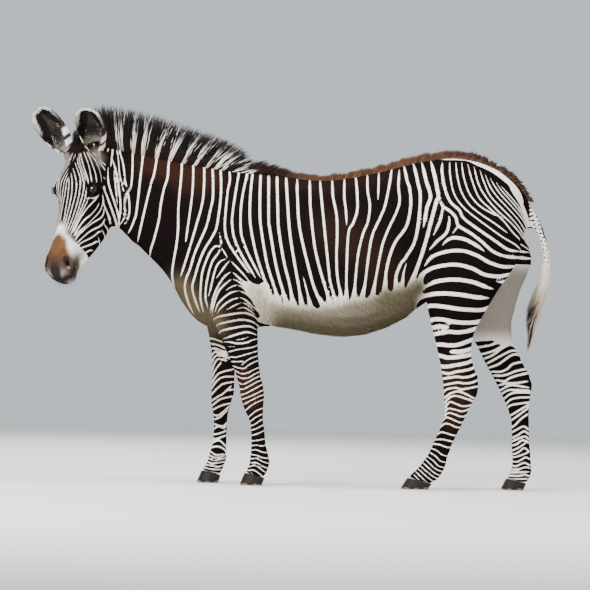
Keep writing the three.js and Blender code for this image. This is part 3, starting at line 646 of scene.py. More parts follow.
class Net:
    """The edges of a mesh, along which values spread from vertex to vertex."""

    def __init__(self, mesh: bpy.types.Mesh) -> None:
        """Read the edges of a mesh.

        Args:
            mesh: The mesh.
        """
        edges = np.empty(len(mesh.edges) * 2, np.int32)
        mesh.edges.foreach_get("vertices", edges)
        self.a, self.b = edges.reshape(-1, 2).T
        self.size = len(mesh.vertices)
        ends = np.concatenate([self.a, self.b])
        self.degree = np.maximum(np.bincount(ends, minlength=self.size), 1)

    def average(self, values: np.ndarray) -> np.ndarray:
        """Give the mean of each vertex's neighbours.

        Args:
            values: The values, a row for each vertex.

        Returns:
            The means, in the same rows.
        """
        columns = values.reshape(self.size, -1).T
        summed = [
            np.bincount(self.a, column[self.b], self.size) + np.bincount(self.b, column[self.a], self.size)
            for column in columns
        ]
        return (np.array(summed) / self.degree).T.reshape(values.shape)

    def smooth(self, values: np.ndarray, weight: np.ndarray, rounds: int) -> np.ndarray:
        """Spread values by a weight for each vertex, so many times over.

        Args:
            values: The values, a row for each vertex.
            weight: How strongly each vertex is changed, from 0 to 1.
            rounds: How many times over.

        Returns:
            The spread values.
        """
        weight = weight.reshape(-1, *[1] * (values.ndim - 1))
        for _ in range(rounds):
            values = values + weight * (self.average(values) - values)
        return values

    def settle(self, points: np.ndarray, weight: np.ndarray, rounds: int, repeats: int = 2) -> np.ndarray:
        """Smooth a surface without letting it shrink, by giving back the smoothed loss.

        Args:
            points: Places in the animal's millimetres, a row each.
            weight: How strongly each vertex is changed, from 0 to 1.
            rounds: How many rounds of smoothing one pass has.
            repeats: How many passes there are.

        Returns:
            The settled places.
        """
        made = self.smooth(points, weight, rounds)
        for _ in range(repeats):
            made = made + self.smooth(points - made, weight, rounds)
        return made


# ---------------------------------------------------------------- where things are


class Side(Enum):
    """The two sides of the animal, as the sign of y."""

    LEFT = -1
    RIGHT = 1

    @property
    def word(self) -> str:
        """The side's name in piece and node names."""
        return self.name.lower()


def node_points(*names: str) -> np.ndarray:
    """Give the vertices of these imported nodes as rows, in metres."""
    return np.vstack([coordinates(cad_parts[name].data) for name in names])


@dataclass
class Body:
    """The animal's own millimetres, and how its right legs stand off from its left ones."""

    hoof_toe: float = -254.0  # x of the left forehoof's toe in the animal's millimetres
    fore_fades: tuple[float, float] = (760.0, 1240.0)  # heights where a leg's own step fades out
    hind_fades: tuple[float, float] = (900.0, 1412.0)
    step: float = 25.0  # spacing of the heights at which the legs are compared
    fore_split: float = 200.0  # x between the forelegs and the hind legs
    shift: np.ndarray = field(init=False)

    def __post_init__(self) -> None:
        """Find the frame's origin in the animal's millimetres, and measure the legs' steps."""
        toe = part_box("hoof_fore_left")[0].x
        low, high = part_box("trunk")
        self.shift = np.array([toe - self.hoof_toe * MM, (low.y + high.y) / 2, 0.0])
        self.fore_steps = self.steps("fore", "forearm", self.fore_fades)
        self.hind_steps = self.steps("hind", "thigh", self.hind_fades)

    def steps(self, end: str, upper: str, fades: tuple[float, float]) -> np.ndarray:
        """Measure how far behind its left leg a right leg is.

        Args:
            end: "fore" or "hind".
            upper: The name of the leg's upper piece.
            fades: The heights between which the difference fades to nothing.

        Returns:
            Rows of height and distance, in millimetres.
        """
        rows = []
        for height in np.arange(0, fades[0], self.step):
            middles = []
            for side in Side:
                names = [f"{part}_{end}_{side.word}" for part in (upper, "cannon", "pastern", "hoof")]
                points = self.own(node_points(*names))
                band = points[np.abs(points[:, 2] - height) < 2.2 * self.step, 0]
                middles.append((band.min() + band.max()) / 2)
            rows.append((height, middles[1] - middles[0]))
        top, gap = rows[-1]
        for share in np.linspace(0.1, 1, 10):
            rows.append((top + share * (fades[1] - top), gap * (1 - share) ** 1.5))
        return np.array(rows)

    def own(self, metres: np.ndarray) -> np.ndarray:
        """Turn frame metres into the animal's millimetres."""
        return (metres - self.shift) / MM

    def metres(self, own: np.ndarray) -> np.ndarray:
        """Turn the animal's millimetres into frame metres."""
        return np.asarray(own, float) * MM + self.shift

    def limb_share(self, points: np.ndarray) -> np.ndarray:
        """How much each point belongs to a leg rather than the trunk, from 0 to 1.

        Args:
            points: Places in the animal's millimetres, a row each.

        Returns:
            A share for each point.
        """
        x, z = points[:, 0], points[:, 2]
        low = 120 * smoothstep(650, 560, z)
        fore = smoothstep(785, 705, z) * smoothstep(-110, -150, np.where(x < self.fore_split, x - low, x))
        hind = smoothstep(945, 865, z) * smoothstep(525, 565, np.where(x > self.fore_split, x + low, x))
        return np.maximum(fore, hind)

    def tail_share(self, points: np.ndarray) -> np.ndarray:
        """How much each point belongs to the tail, from 0 to 1.

        Args:
            points: Places in the animal's millimetres, a row each.

        Returns:
            A share for each point.
        """
        x, z = points[:, 0], points[:, 2]
        start = np.interp(z, (950, 1100, 1200, 1250, 1350, 1400), (1076, 1099, 1062, 1056, 1052, 1046))
        return smoothstep(start - 6, start + 6, x) * (z < 1400) * (z > 905)

    def leg_step(self, points: np.ndarray) -> np.ndarray:
        """How far behind the left leg the right one is, at each point's height.

        Args:
            points: Places in the animal's millimetres, a row each.

        Returns:
            Millimetres for each point.
        """
        fore = np.interp(points[:, 2], *self.fore_steps.T)
        hind = np.interp(points[:, 2], *self.hind_steps.T)
        return np.where(points[:, 0] < self.fore_split, fore, hind)


@dataclass
class Head:
    """The head's own frame: x from the poll down the face, y to the left, z out of the forehead."""

    poll: tuple[float, float, float] = (-1037, -118, 1555)
    yaw: float = 67
    pitch: float = 65
    roll: float = 6
    eye: tuple[float, float, float] = (206, 92, -55)  # the left eye's middle
    turn: np.ndarray = field(init=False)

    def __post_init__(self) -> None:
        """Work out the head's turn from its three angles."""
        down = math.radians(self.pitch)
        face = (-math.cos(down), 0, -math.sin(down))
        out = (-math.sin(down), 0, math.cos(down))
        basis = Matrix((face, (0, -1, 0), out)).transposed()
        yaw = Matrix.Rotation(math.radians(self.yaw), 3, "Z")
        roll = Matrix.Rotation(math.radians(self.roll), 3, "X")
        self.turn = np.array(yaw @ basis @ roll)

    def own(self, points: np.ndarray) -> np.ndarray:
        """Turn the body's millimetres into the head's."""
        return (points - np.array(self.poll)) @ self.turn

    def body(self, points: np.ndarray) -> np.ndarray:
        """Turn the head's millimetres into the body's."""
        return np.asarray(points, float) @ self.turn.T + np.array(self.poll)

    def share(self, points: np.ndarray) -> np.ndarray:
        """How much each point of the body belongs to the head, from 0 to 1.

        Args:
            points: Places in the animal's millimetres, a row each.

        Returns:
            A share for each point.
        """
        own = self.own(points)
        along = smoothstep(-25, 40, own[:, 0] + 0.35 * np.minimum(own[:, 2] + 120, 0))
        x, y, z = own.T
        neck = smoothstep(90, 99, y) * smoothstep(-100, -122, z) * smoothstep(335, 290, x)
        throat = smoothstep(10, -10, y) * smoothstep(-212, -236, z) * smoothstep(300, 260, x)
        return along * (1 - neck) * (1 - throat) * (np.abs(y) < 165) * (z > -400)


# ---------------------------------------------------------------- markings


@dataclass
class StripeChart:
    """A side view on which white stripes are drawn, to be read at any point.

    What is read is how far inside a white stripe a point lies, in millimetres: below 0 is dark.
    """

    low: tuple[float, float]
    high: tuple[float, float]
    cell: float = 3.0  # millimetres
    reach: float = 30.0  # how far from a stripe the chart still tells the distance
    taper: float = 44.0  # length of a stripe's pointed end
    beyond: float = 1.0  # how far a stripe goes on past its first and last points
    depth: np.ndarray = field(init=False)
    ruler: np.ndarray = field(init=False)  # which piece of which stripe rules each cell
    pieces: list = field(default_factory=list)  # each piece's middle, way across and stripe's number
    drawn: int = 0

    def __post_init__(self) -> None:
        """Start with an all dark chart."""
        size = (np.array(self.high) - np.array(self.low)) / self.cell
        self.depth = np.full(size.astype(int) + 2, -float(self.reach))
        self.ruler = np.full(self.depth.shape, -1)

    def draw(self, width: float, points: np.ndarray) -> None:
        """Draw one white stripe of this width along a line, with pointed ends.

        Args:
            width: Its full width, in millimetres.
            points: Its middle line on the chart, a row for each point.
        """
        first, last = points[0] - points[1], points[-1] - points[-2]
        first, last = first / np.hypot(*first), last / np.hypot(*last)
        points = np.vstack([points[0] + first * self.beyond, points, points[-1] + last * self.beyond])
        line = smooth_line(points, self.cell)
        lengths = np.linalg.norm(np.diff(line, axis=0), axis=1)
        along = np.append(0, np.cumsum(lengths))
        from_end = np.minimum(along, along[-1] - along)
        halves = width / 2 * np.clip(from_end / self.taper, 0.03, 1) ** 0.6
        ways = np.gradient(line, axis=0)
        ways /= np.linalg.norm(ways, axis=1)[:, None]
        self.drawn += 1
        around = np.arange(-int(self.reach / self.cell), int(self.reach / self.cell) + 1)
        for (x, z), way, half in zip((line - self.low) / self.cell, ways, halves):
            self.pieces.append((x * self.cell + self.low[0], z * self.cell + self.low[1], -way[1], way[0],
                                self.drawn))
            columns = int(round(x)) + around
            rows = int(round(z)) + around
            columns = columns[(columns >= 0) & (columns < self.depth.shape[0])]
            rows = rows[(rows >= 0) & (rows < self.depth.shape[1])]
            if not len(columns) or not len(rows):
                continue
            away = np.hypot(columns[:, None] - x, rows[None] - z) * self.cell
            patch = np.s_[columns[0] : columns[-1] + 1, rows[0] : rows[-1] + 1]
            better = half - away > self.depth[patch]
            self.depth[patch][better] = (half - away)[better]
            self.ruler[patch][better] = len(self.pieces) - 1

    def draw_all(self, stripes: tuple, slim: float = 1.0) -> "StripeChart":
        """Draw stripes written as a width, times slim, and then x, z, x, z and so on.

        Args:
            stripes: The stripes.
            slim: The share of their width that they keep.

        Returns:
            The chart.
        """
        for width, *numbers in stripes:
            self.draw(width * slim, rows_of(numbers))
        return self

    def rulers(self, places: np.ndarray) -> np.ndarray:
        """Give, a row each, the distance from the ruling stripe's middle, the way across, and its number.

        Args:
            places: Places on the chart, a row each.

        Returns:
            The rows.
        """
        cells = np.round((places - self.low) / self.cell).astype(int)
        cells = np.clip(cells, 0, np.array(self.depth.shape) - 1)
        ruler = self.ruler[cells[:, 0], cells[:, 1]]
        rows = np.array(self.pieces)[ruler] * (ruler >= 0)[:, None]
        return np.column_stack([((places - rows[:, :2]) * rows[:, 2:4]).sum(axis=1), rows[:, 2:]])

    def read(self, x: np.ndarray, z: np.ndarray) -> np.ndarray:
        """Read how far inside a white stripe each place is.

        Args:
            x: How far along the chart each place is.
            z: How far up it.

        Returns:
            Millimetres, below 0 where it is dark.
        """
        u = np.clip((x - self.low[0]) / self.cell, 0, self.depth.shape[0] - 1.001)
        v = np.clip((z - self.low[1]) / self.cell, 0, self.depth.shape[1] - 1.001)
        i, j = u.astype(int), v.astype(int)
        s, t = u - i, v - j
        d = self.depth
        near = d[i, j] * (1 - s) + d[i + 1, j] * s
        far = d[i, j + 1] * (1 - s) + d[i + 1, j + 1] * s
        return near * (1 - t) + far * t


class Ink(Enum):
    """Which of the coat's two colours a tint changes."""

    WHITE = "white"
    DARK = "dark"
    BOTH = "both"


@dataclass(frozen=True)
class Tint:
    """A soft-edged patch of another colour, round a line in the animal's millimetres."""

    colour: str
    ink: Ink
    line: tuple  # x, z, x, z and so on in the side view, or x, y, z triples in the head's frame
    radius: float
    strength: float = 1.0


BODY_TINTS = (
    Tint("#2c1a12", Ink.DARK, (-720, 1480, -560, 1440, -420, 1420), 55, 0.8),
    Tint("#291812", Ink.DARK, (-560, 1380, -480, 1360), 40, 0.5),
    Tint("#2b1c15", Ink.DARK, (150, 1180, 300, 1100, 420, 950), 90, 0.55),
    Tint("#261813", Ink.DARK, (-200, 1430, 120, 1400, 420, 1470), 45, 0.5),
    Tint("#3a2016", Ink.DARK, (-250, 480, -215, 400), 55, 0.7),
    Tint("#352014", Ink.DARK, (700, 560, 760, 440, 720, 330), 50, 0.5),
    # painted shade under the rear of the belly, before the stifle
    Tint("#5e5743", Ink.WHITE, (400, 872, 470, 890, 540, 930), 46, 0.75),
    Tint("#d8cab8", Ink.WHITE, (-330, 860, -250, 780), 80, 0.4),
    # painted shade: the fold in front of the chest and upper arm, greying both colours to grey-tan
    Tint("#b5a993", Ink.WHITE, (-560, 900, -470, 800, -400, 760), 70, 0.8),
    Tint("#5f5340", Ink.DARK, (-560, 900, -480, 790, -400, 740), 60, 0.7),
    # painted shade: the far foreleg's white greyed
    Tint("#c2b5a6", Ink.WHITE, (-400, 700, -400, 500, -380, 300), 55, 0.8),
    # painted shade between the foreleg and the belly, behind the elbow
    Tint("#b3a796", Ink.WHITE, (-205, 900, -180, 840, -170, 780), 50, 0.9),
    Tint("#c9bca8", Ink.WHITE, (-1000, 1230, -800, 1120, -700, 1060), 60, 0.6),
)


FACE_TINTS = (
    Tint("#3a2a24", Ink.BOTH, (-8, 0, -6, 10, 24, 0), 22, 0.95),  # forelock's ground
    Tint("#82796e", Ink.BOTH, (0, 80, -40, -6, 104, -10), 44, 0.95),  # foot of the ear
    Tint("#8f867b", Ink.BOTH, (24, 78, -62, 52, 86, -74), 20, 0.9),
    Tint("#4d4038", Ink.BOTH, (556, 30, -10, 596, 62, -70, 572, 58, -112), 42, 1.0),
    Tint("#f0e8dc", Ink.BOTH, (430, 0, 6, 470, 24, 0, 490, 50, -40, 500, 56, -80), 24, 1.0),  # pale band
    Tint("#5f3f2b", Ink.BOTH, (482, 0, 2, 520, 0, 0, 565, 0, -2, 604, 0, -16), 30, 1.0),  # tan on the nose
    Tint("#573620", Ink.BOTH, (494, 30, -6, 540, 42, -12, 572, 38, -12), 22, 0.95),
    Tint("#46332a", Ink.BOTH, (585, 10, -12, 606, 40, -26, 600, 60, -76), 22, 0.8),
    Tint("#5b5048", Ink.BOTH, (560, 66, -80, 540, 62, -110), 30, 0.7),
    Tint("#2b2423", Ink.BOTH, (625, 0, -40, 640, 0, -100, 625, 30, -90, 600, 55, -110), 42, 1.0),
    Tint("#2b2423", Ink.BOTH, (570, 54, -128, 545, 56, -132), 22, 0.95),
    Tint("#262120", Ink.BOTH, (630, 0, -130, 600, 0, -175, 580, 30, -160), 38, 1.0),
    Tint("#2b2423", Ink.BOTH, (606, 34, -112, 572, 48, -132, 590, 30, -140), 24, 0.95),
    Tint("#9a8b80", Ink.BOTH, (570, 58, -16, 592, 66, -26, 610, 62, -48, 604, 60, -68), 5, 0.8),  # nostril
    # inside of the nostril: dark skin with painted shade of its hollow
    Tint("#0d0b0b", Ink.BOTH, (576, 52, -34, 594, 54, -50), 12, 1.0),
    Tint("#1f1817", Ink.BOTH, (168, 90, -42, 206, 108, -44, 246, 84, -66), 8.5, 1.0),  # bare skin of the lids
    Tint("#4a413b", Ink.BOTH, (604, 36, -146, 570, 44, -160), 26, 0.9),
    Tint("#6b5d52", Ink.BOTH, (530, 62, -128, 498, 58, -150), 26, 0.6),
    Tint("#d9d0c4", Ink.WHITE, (90, 60, -300, 240, 60, -330), 40, 0.5),
)


@dataclass
class Markings:
    """The colours of the coat, at any point of the skin."""

    body: Body
    head: Head
    white: str = "#fbf2e6"
    dark: str = "#120c0c"
    # painted shade: the white greys to this below the belly line
    belly: str = "#a89d89"
    # painted shade: darker where the underside faces down and towards the rear of the belly
    underside_shade: str = "#3a301b"
    # painted shade: the white greys to this where the thighs face each other
    inner: str = "#877e74"
    hollow: float = 9.0  # how much wider the white gets at the belly, in millimetres each side
    belly_line: tuple = (-620, 700, -330, 800, -193, 898, -137, 880, -73, 866, 3, 858, 95, 858, 194, 875,
                         245, 898, 300, 905, 350, 918, 396, 946, 443, 936, 516, 962, 557, 1000)

    def __post_init__(self) -> None:
        """Draw the charts."""
        self.outer_chart = StripeChart((-1180, -20), (1260, 1640))
        for width, *numbers in BODY_STRIPES:
            line = rows_of(numbers)
            self.outer_chart.draw(width * self.slim(*line.mean(axis=0)), self.run_on(line))
        self.outer_chart.draw_all(CHEEK_STRIPES, 0.6)
        self.outer_chart.draw_all(DORSAL_BAND)
        self.outer_chart.taper, self.outer_chart.beyond = 12.0, 16.0
        self.outer_chart.draw_all(FORELEG_STRIPES, 0.34)
        for width, *numbers in HINDLEG_STRIPES:
            line = rows_of(numbers)
            slim = np.interp(line[:, 1].mean(), (300, 500, 620), (0.48, 0.65, 1.05))
            self.outer_chart.draw(width * slim, line)
        self.inner_chart = StripeChart((-520, -20), (1260, 1000), taper=12.0, beyond=16.0)
        self.inner_chart.draw_all(INNER_FORELEG_STRIPES, 0.55)
        self.inner_chart.draw_all(INNER_HINDLEG_STRIPES, 0.65)
        self.face_chart = StripeChart((-60, -10), (700, 290), cell=1.5, reach=14.0, taper=20.0)
        self.face_chart.draw_all(FACE_STRIPES)

    def belly_height(self, x: np.ndarray) -> np.ndarray:
        """Give the height at which the dark stripes end over the belly."""
        return np.interp(x, *rows_of(self.belly_line).T)

    def between_thighs(self, points: np.ndarray, out: np.ndarray) -> np.ndarray:
        """Tell how far each point faces the other hind leg, from 0 to 1."""
        x, y = points[:, 0], points[:, 1]
        return smoothstep(0.15, -0.25, out[:, 1] * np.sign(y)) * smoothstep(480, 620, x)

    def slim(self, x: float, z: float) -> float:
        """Say how much of its written width a stripe keeps with its middle at x, z.

        Args:
            x: How far toward the tail its middle is.
            z: How high its middle is.

        Returns:
            The share.
        """
        if x > 800 and z > 1180:
            return 0.53
        if x > 540:
            return 1.08 if z < 1150 else 0.9
        if x > -480 and z < 1000 and x < -190:
            return 0.5
        return float(np.interp(x, (-560, -480, -200, 300, 500), (0.38, 0.46, 0.56, 0.57, 0.76)))

    def run_on(self, line: np.ndarray) -> np.ndarray:
        """Let a stripe that ends just over the belly run on into its white.

        Args:
            line: The stripe's middle line, from its top.

        Returns:
            The line, longer by a point where it runs on.
        """
        last, before = line[-1], line[-2]
        gap = last[1] - self.belly_height(last[0])
        if -165 < last[0] < 520 and -40 < gap < 125:
            way = (last - before) / max(before[1] - last[1], 1)
            return np.vstack([line, last + way * (gap + 60)])
        return line

    def stripes(self, points: np.ndarray, out: np.ndarray) -> np.ndarray:
        """Tell how far inside a white stripe each point is.

        Args:
            points: Places in the animal's millimetres.
            out: The skin's outward direction at each.

        Returns:
            Millimetres inside white, below 0 where the coat is dark.
        """
        x, y, z = points.T
        step = self.body.leg_step(points)
        right = smoothstep(-20, 20, y)
        outer = self.outer_chart.read(x - right * step, z)
        inner = self.inner_chart.read(x + (1 - right) * step, z)
        is_leg = self.body.limb_share(points)
        inward = smoothstep(0.2, -0.3, out[:, 1] * np.sign(y)) * is_leg
        depth = outer * (1 - inward) + inner * inward
        over = z - self.belly_height(x)
        trunk = (1 - is_leg) * smoothstep(585, 545, x) * smoothstep(-200, -150, x)
        depth += trunk * (self.hollow * smoothstep(50, -50, over) + np.clip((-22 - over) * 1.2, 0, 40))
        behind = x - right * step + 150 + 0.55 * (z - 750)
        armpit = smoothstep(-14, 14, behind) * smoothstep(-140, -172, x - right * step)
        depth += 60 * armpit * smoothstep(690, 730, z) * smoothstep(948, 905, z)
        tail = self.body.tail_share(points)
        depth = depth + (self.tail_spots(points) - depth) * tail
        plain = self.between_thighs(points, out) * smoothstep(680, 740, z) * smoothstep(1080, 980, z)
        depth = depth + 40 * plain
        share = self.head.share(points)
        own = self.head.own(points)
        face = self.face_chart.read(own[:, 0], self.around(own))
        face = face - 1.2 - 0.6 * smoothstep(200, 120, own[:, 0])
        face = np.where(own[:, 0] > 470, np.maximum(face, (own[:, 0] - 470) / 4), face)
        return depth * (1 - share) + face * share

    def across(self, points: np.ndarray, out: np.ndarray) -> tuple[np.ndarray, np.ndarray, np.ndarray]:
        """Tell how to measure across the stripe that rules each point.

        Args:
            points: Places in the animal's millimetres.
            out: The skin's outward direction at each.

        Returns:
            The signed distance from the stripe's middle line, its slope in space, and the stripe's
            number, which is not whole where no stripe rules.
        """
        y = points[:, 1]
        inner = (out[:, 1] * np.sign(y) < -0.05) & (self.body.limb_share(points) > 0.5)
        kinds = np.where(self.head.share(points) > 0.5, 2, inner.astype(int))
        signed, slope, number = np.zeros(len(points)), np.zeros_like(points), np.zeros(len(points))
        for kind, chart in enumerate((self.outer_chart, self.inner_chart, self.face_chart)):
            mine = kinds == kind
            at, right = points[mine], points[mine, 1] > 0
            rows = chart.rulers(self.place(kind, at, right))
            signed[mine], number[mine] = rows[:, 0], 500 * kind + rows[:, 3]
            for axis, step in enumerate(np.eye(3)):
                change = self.place(kind, at + step, right) - self.place(kind, at - step, right)
                slope[mine, axis] = (change / 2 * rows[:, 1:3]).sum(axis=1)
        plain = (self.body.tail_share(points) > 0) | (number % 500 == 0)
        return np.where(plain, 0, signed), np.where(plain[:, None], 0, slope), np.where(plain, 0.5, number)

    def place(self, kind: int, points: np.ndarray, right: np.ndarray) -> np.ndarray:
        """Give each point's place on the outer (0), inner (1) or face (2) chart.

        Args:
            kind: The chart's number.
            points: Places in the animal's millimetres, a row each.
            right: Which points lie on the animal's right.

        Returns:
            Places on the chart, a row each.
        """
        if kind == 2:
            own = self.head.own(points)
            return np.column_stack([own[:, 0], self.around(own)])
        step = self.body.leg_step(points)
        moved = np.where(right, 0, step) if kind else np.where(right, -step, 0)
        return np.column_stack([points[:, 0] + moved, points[:, 2]])

    def tail_spots(self, points: np.ndarray) -> np.ndarray:
        """Draw the tail pale with rows of dark spots and a dark line down its back.

        Args:
            points: Places in the animal's millimetres, a row each.

        Returns:
            Millimetres inside white, below 0 where it is dark.
        """
        x, y, z = points.T
        middle = np.interp(z, (940, 1000, 1080, 1160, 1200, 1260, 1320),
                           (1128, 1140, 1142, 1128, 1100, 1088, 1068))
        across = x - middle
        turn = np.degrees(np.arctan2(np.abs(y), across))
        wave = np.cos(2 * math.pi * (z + 0.12 * turn) / 19) * np.cos(math.radians(3.2) * (turn - 112))
        spots = 3.0 - 8.0 * np.maximum(wave, 0) * smoothstep(960, 1060, z)
        line = np.clip((turn - 34) / 3.0, -9, 9) * smoothstep(1120, 1190, z)
        return np.where(z > 1120, np.minimum(spots, line + 9 * smoothstep(1190, 1120, z)), spots)

    def around(self, own: np.ndarray) -> np.ndarray:
        """Give how far round the head a point is from its top line, as millimetres of a mean girth."""
        middle = np.interp(own[:, 0], (0, 200, 400, 650), (-110, -160, -135, -95))
        return 90 * np.abs(np.arctan2(own[:, 1], own[:, 2] - middle))

    def colours(self, points: np.ndarray, out: np.ndarray) -> tuple[np.ndarray, np.ndarray]:
        """Give the two colours of the coat at each point, with painted shade under the trunk and in its
        folds.

        Args:
            points: Places in the animal's millimetres.
            out: The skin's outward direction at each.

        Returns:
            The light colour and the dark colour, a row for each point.
        """
        x, z = points[:, 0], points[:, 2]
        count = len(points)
        white = np.tile(linear(self.white), (count, 1))
        dark = np.tile(linear(self.dark), (count, 1))
        level = self.belly_height(x)
        share = self.head.share(points)
        is_trunk = smoothstep(620, 540, x) * smoothstep(-520, -380, x) * (1 - share)
        is_trunk = is_trunk * (1 - self.body.limb_share(points))
        # painted shade: the white of the lower trunk greys below the belly line
        low = is_trunk * smoothstep(25, -55, z - level)
        white = mix(white, linear(self.belly), low)
        # painted shade where the underside of the trunk faces down, and more towards the rear belly
        under = is_trunk * smoothstep(-0.3, -0.92, out[:, 2]) * smoothstep(0, -60, z - level)
        white = mix(white, linear(self.underside_shade), 0.85 * under)
        white = mix(white, linear(self.underside_shade), 0.6 * low * smoothstep(150, 500, x))
        # painted shade on the white where the thighs face each other
        plain = self.between_thighs(points, out) * smoothstep(650, 760, z) * smoothstep(1100, 1000, z)
        white = mix(white, linear(self.inner), plain)
        side = points[:, [0, 2]]
        for tint in BODY_TINTS:
            away = distance_to_line(side, rows_of(tint.line))
            self.tint(tint, white, dark, np.exp(-((away / tint.radius) ** 2)) * (1 - share))
        own = self.head.own(points)
        own[:, 1] = np.abs(own[:, 1])
        on_head = share > 0
        for tint in FACE_TINTS:
            away = distance_to_line(own[on_head], rows_of(tint.line, 3))
            amount = np.zeros(count)
            amount[on_head] = np.exp(-((away / tint.radius) ** 2)) * share[on_head]
            self.tint(tint, white, dark, amount)
        return white, dark

    def tint(self, tint: Tint, white: np.ndarray, dark: np.ndarray, amount: np.ndarray) -> None:
        """Blend a tint into the light or the dark colours, in place.

        Args:
            tint: The tint.
            white: The light colours, a row each.
            dark: The dark colours, a row each.
            amount: How much of the tint each point takes.
        """
        amount = (np.clip(amount * 1.3, 0, 1) * tint.strength)[:, None]
        for ink, rows in ((Ink.WHITE, white), (Ink.DARK, dark)):
            if tint.ink in (ink, Ink.BOTH):
                rows += (linear(tint.colour) - rows) * amount


# ---------------------------------------------------------------- finishes


@dataclass(frozen=True)
class CoatFinish:
    """Short zebra hair: dense, smooth and dry, so it is matt, with the fine streaks of its lie."""

    name: str
    roughness: float = 0.62
    hair_width_mm: float = 1.4  # real hairs are 0.1 mm, too fine to show, so it is drawn as locks
    hair_length_mm: float = 16.0
    bump_mm: float = 0.5
    edge_mm: float = 1.1  # how far hairs of one stripe cross into the next
    trusted_mm: float = 7.0  # how far a measured depth may lie above the one that the mesh keeps

    def crisp(self, tree: bpy.types.NodeTree, place: bpy.types.NodeSocket) -> bpy.types.NodeSocket:
        """Measure how far inside a white stripe each spot lies, more finely than the mesh can.

        Args:
            tree: The material's nodes.
            place: The spot's place in the object, in metres.

        Returns:
            The socket that gives millimetres inside white, below 0 where the coat is dark.
        """
        kept = {name: add_node(tree, "Attribute", {"attribute_name": name}).outputs
                for name in ("stripe", "slope", "start", "half", "number")}
        depth, number = kept["stripe"]["Fac"], kept["number"]["Fac"]
        spot = add_node(tree, "VectorMath", {"operation": "SCALE", "Scale": 1 / MM}, {0: place})
        dot = add_node(tree, "VectorMath", {"operation": "DOT_PRODUCT"},
                       {0: spot.outputs[0], 1: kept["slope"]["Vector"]})
        signed = calculate(tree, "SUBTRACT", dot.outputs["Value"], kept["start"]["Fac"])
        away = calculate(tree, "ABSOLUTE", signed, signed)
        inside = calculate(tree, "SUBTRACT", kept["half"]["Fac"], away)
        off = calculate(tree, "COMPARE", number, calculate(tree, "ROUND", number, number))
        off.node.inputs[2].default_value = 0.002
        high = add_node(tree, "Math", {"operation": "ADD", 1: self.trusted_mm}, {0: depth}).outputs[0]
        inside = calculate(tree, "MINIMUM", inside, high)
        return add_node(tree, "Mix", {}, {0: off, 2: depth, 3: inside}).outputs[0]

    def build(self) -> bpy.types.Material:
        """Make the material, which reads the stripes and both colours from the mesh.

        Returns:
            The material.
        """
        made, tree = new_material(self.name)
        place = object_place(tree)
        across, along = 1 / (self.hair_width_mm * MM), 1 / (self.hair_length_mm * MM)
        level = stretched_noise(tree, place, (along, across, across), 0.6)
        hanging = stretched_noise(tree, place, (across, across, along), 0.6)
        upright = add_node(tree, "Attribute", {"attribute_name": "upright"}).outputs["Fac"]
        streak = add_node(tree, "Mix", {}, {0: upright, 2: level, 3: hanging}).outputs[0]
        centred = add_node(tree, "Math", {"operation": "SUBTRACT", 1: 0.5}, {0: streak}).outputs[0]
        wander = add_node(tree, "Math", {"operation": "MULTIPLY", 1: self.edge_mm * 5}, {0: centred})
        moved = calculate(tree, "ADD", self.crisp(tree, place), wander.outputs[0])
        share = add_node(tree, "MapRange", {"From Min": -0.9, "From Max": 0.9}, {0: moved}).outputs[0]
        light, dark = kept_colour(tree, "light"), kept_colour(tree, "dark")
        coat = add_node(tree, "Mix", {"data_type": "RGBA"}, {0: share, 6: dark, 7: light}).outputs[2]
        colour = toned(tree, coat, streak, (0.3, 0.7), (0.8, 1.12))
        bump = add_node(tree, "Bump", {"Strength": 0.55, "Distance": self.bump_mm * MM}, {"Height": streak})
        end_in_surface(tree, {"Roughness": self.roughness, "Specular IOR Level": 0.0},
                       {"Base Color": colour, "Normal": bump.outputs[0]})
        return made


# ---------------------------------------------------------------- the skin


@dataclass(frozen=True)
class Shape:
    """A swelling, or where its height is below 0 a hollow, along a line of the skin."""

    line: tuple  # x, z, x, z and so on in the side view, or x, y, z triples in the head's frame
    radius: float
    height: float


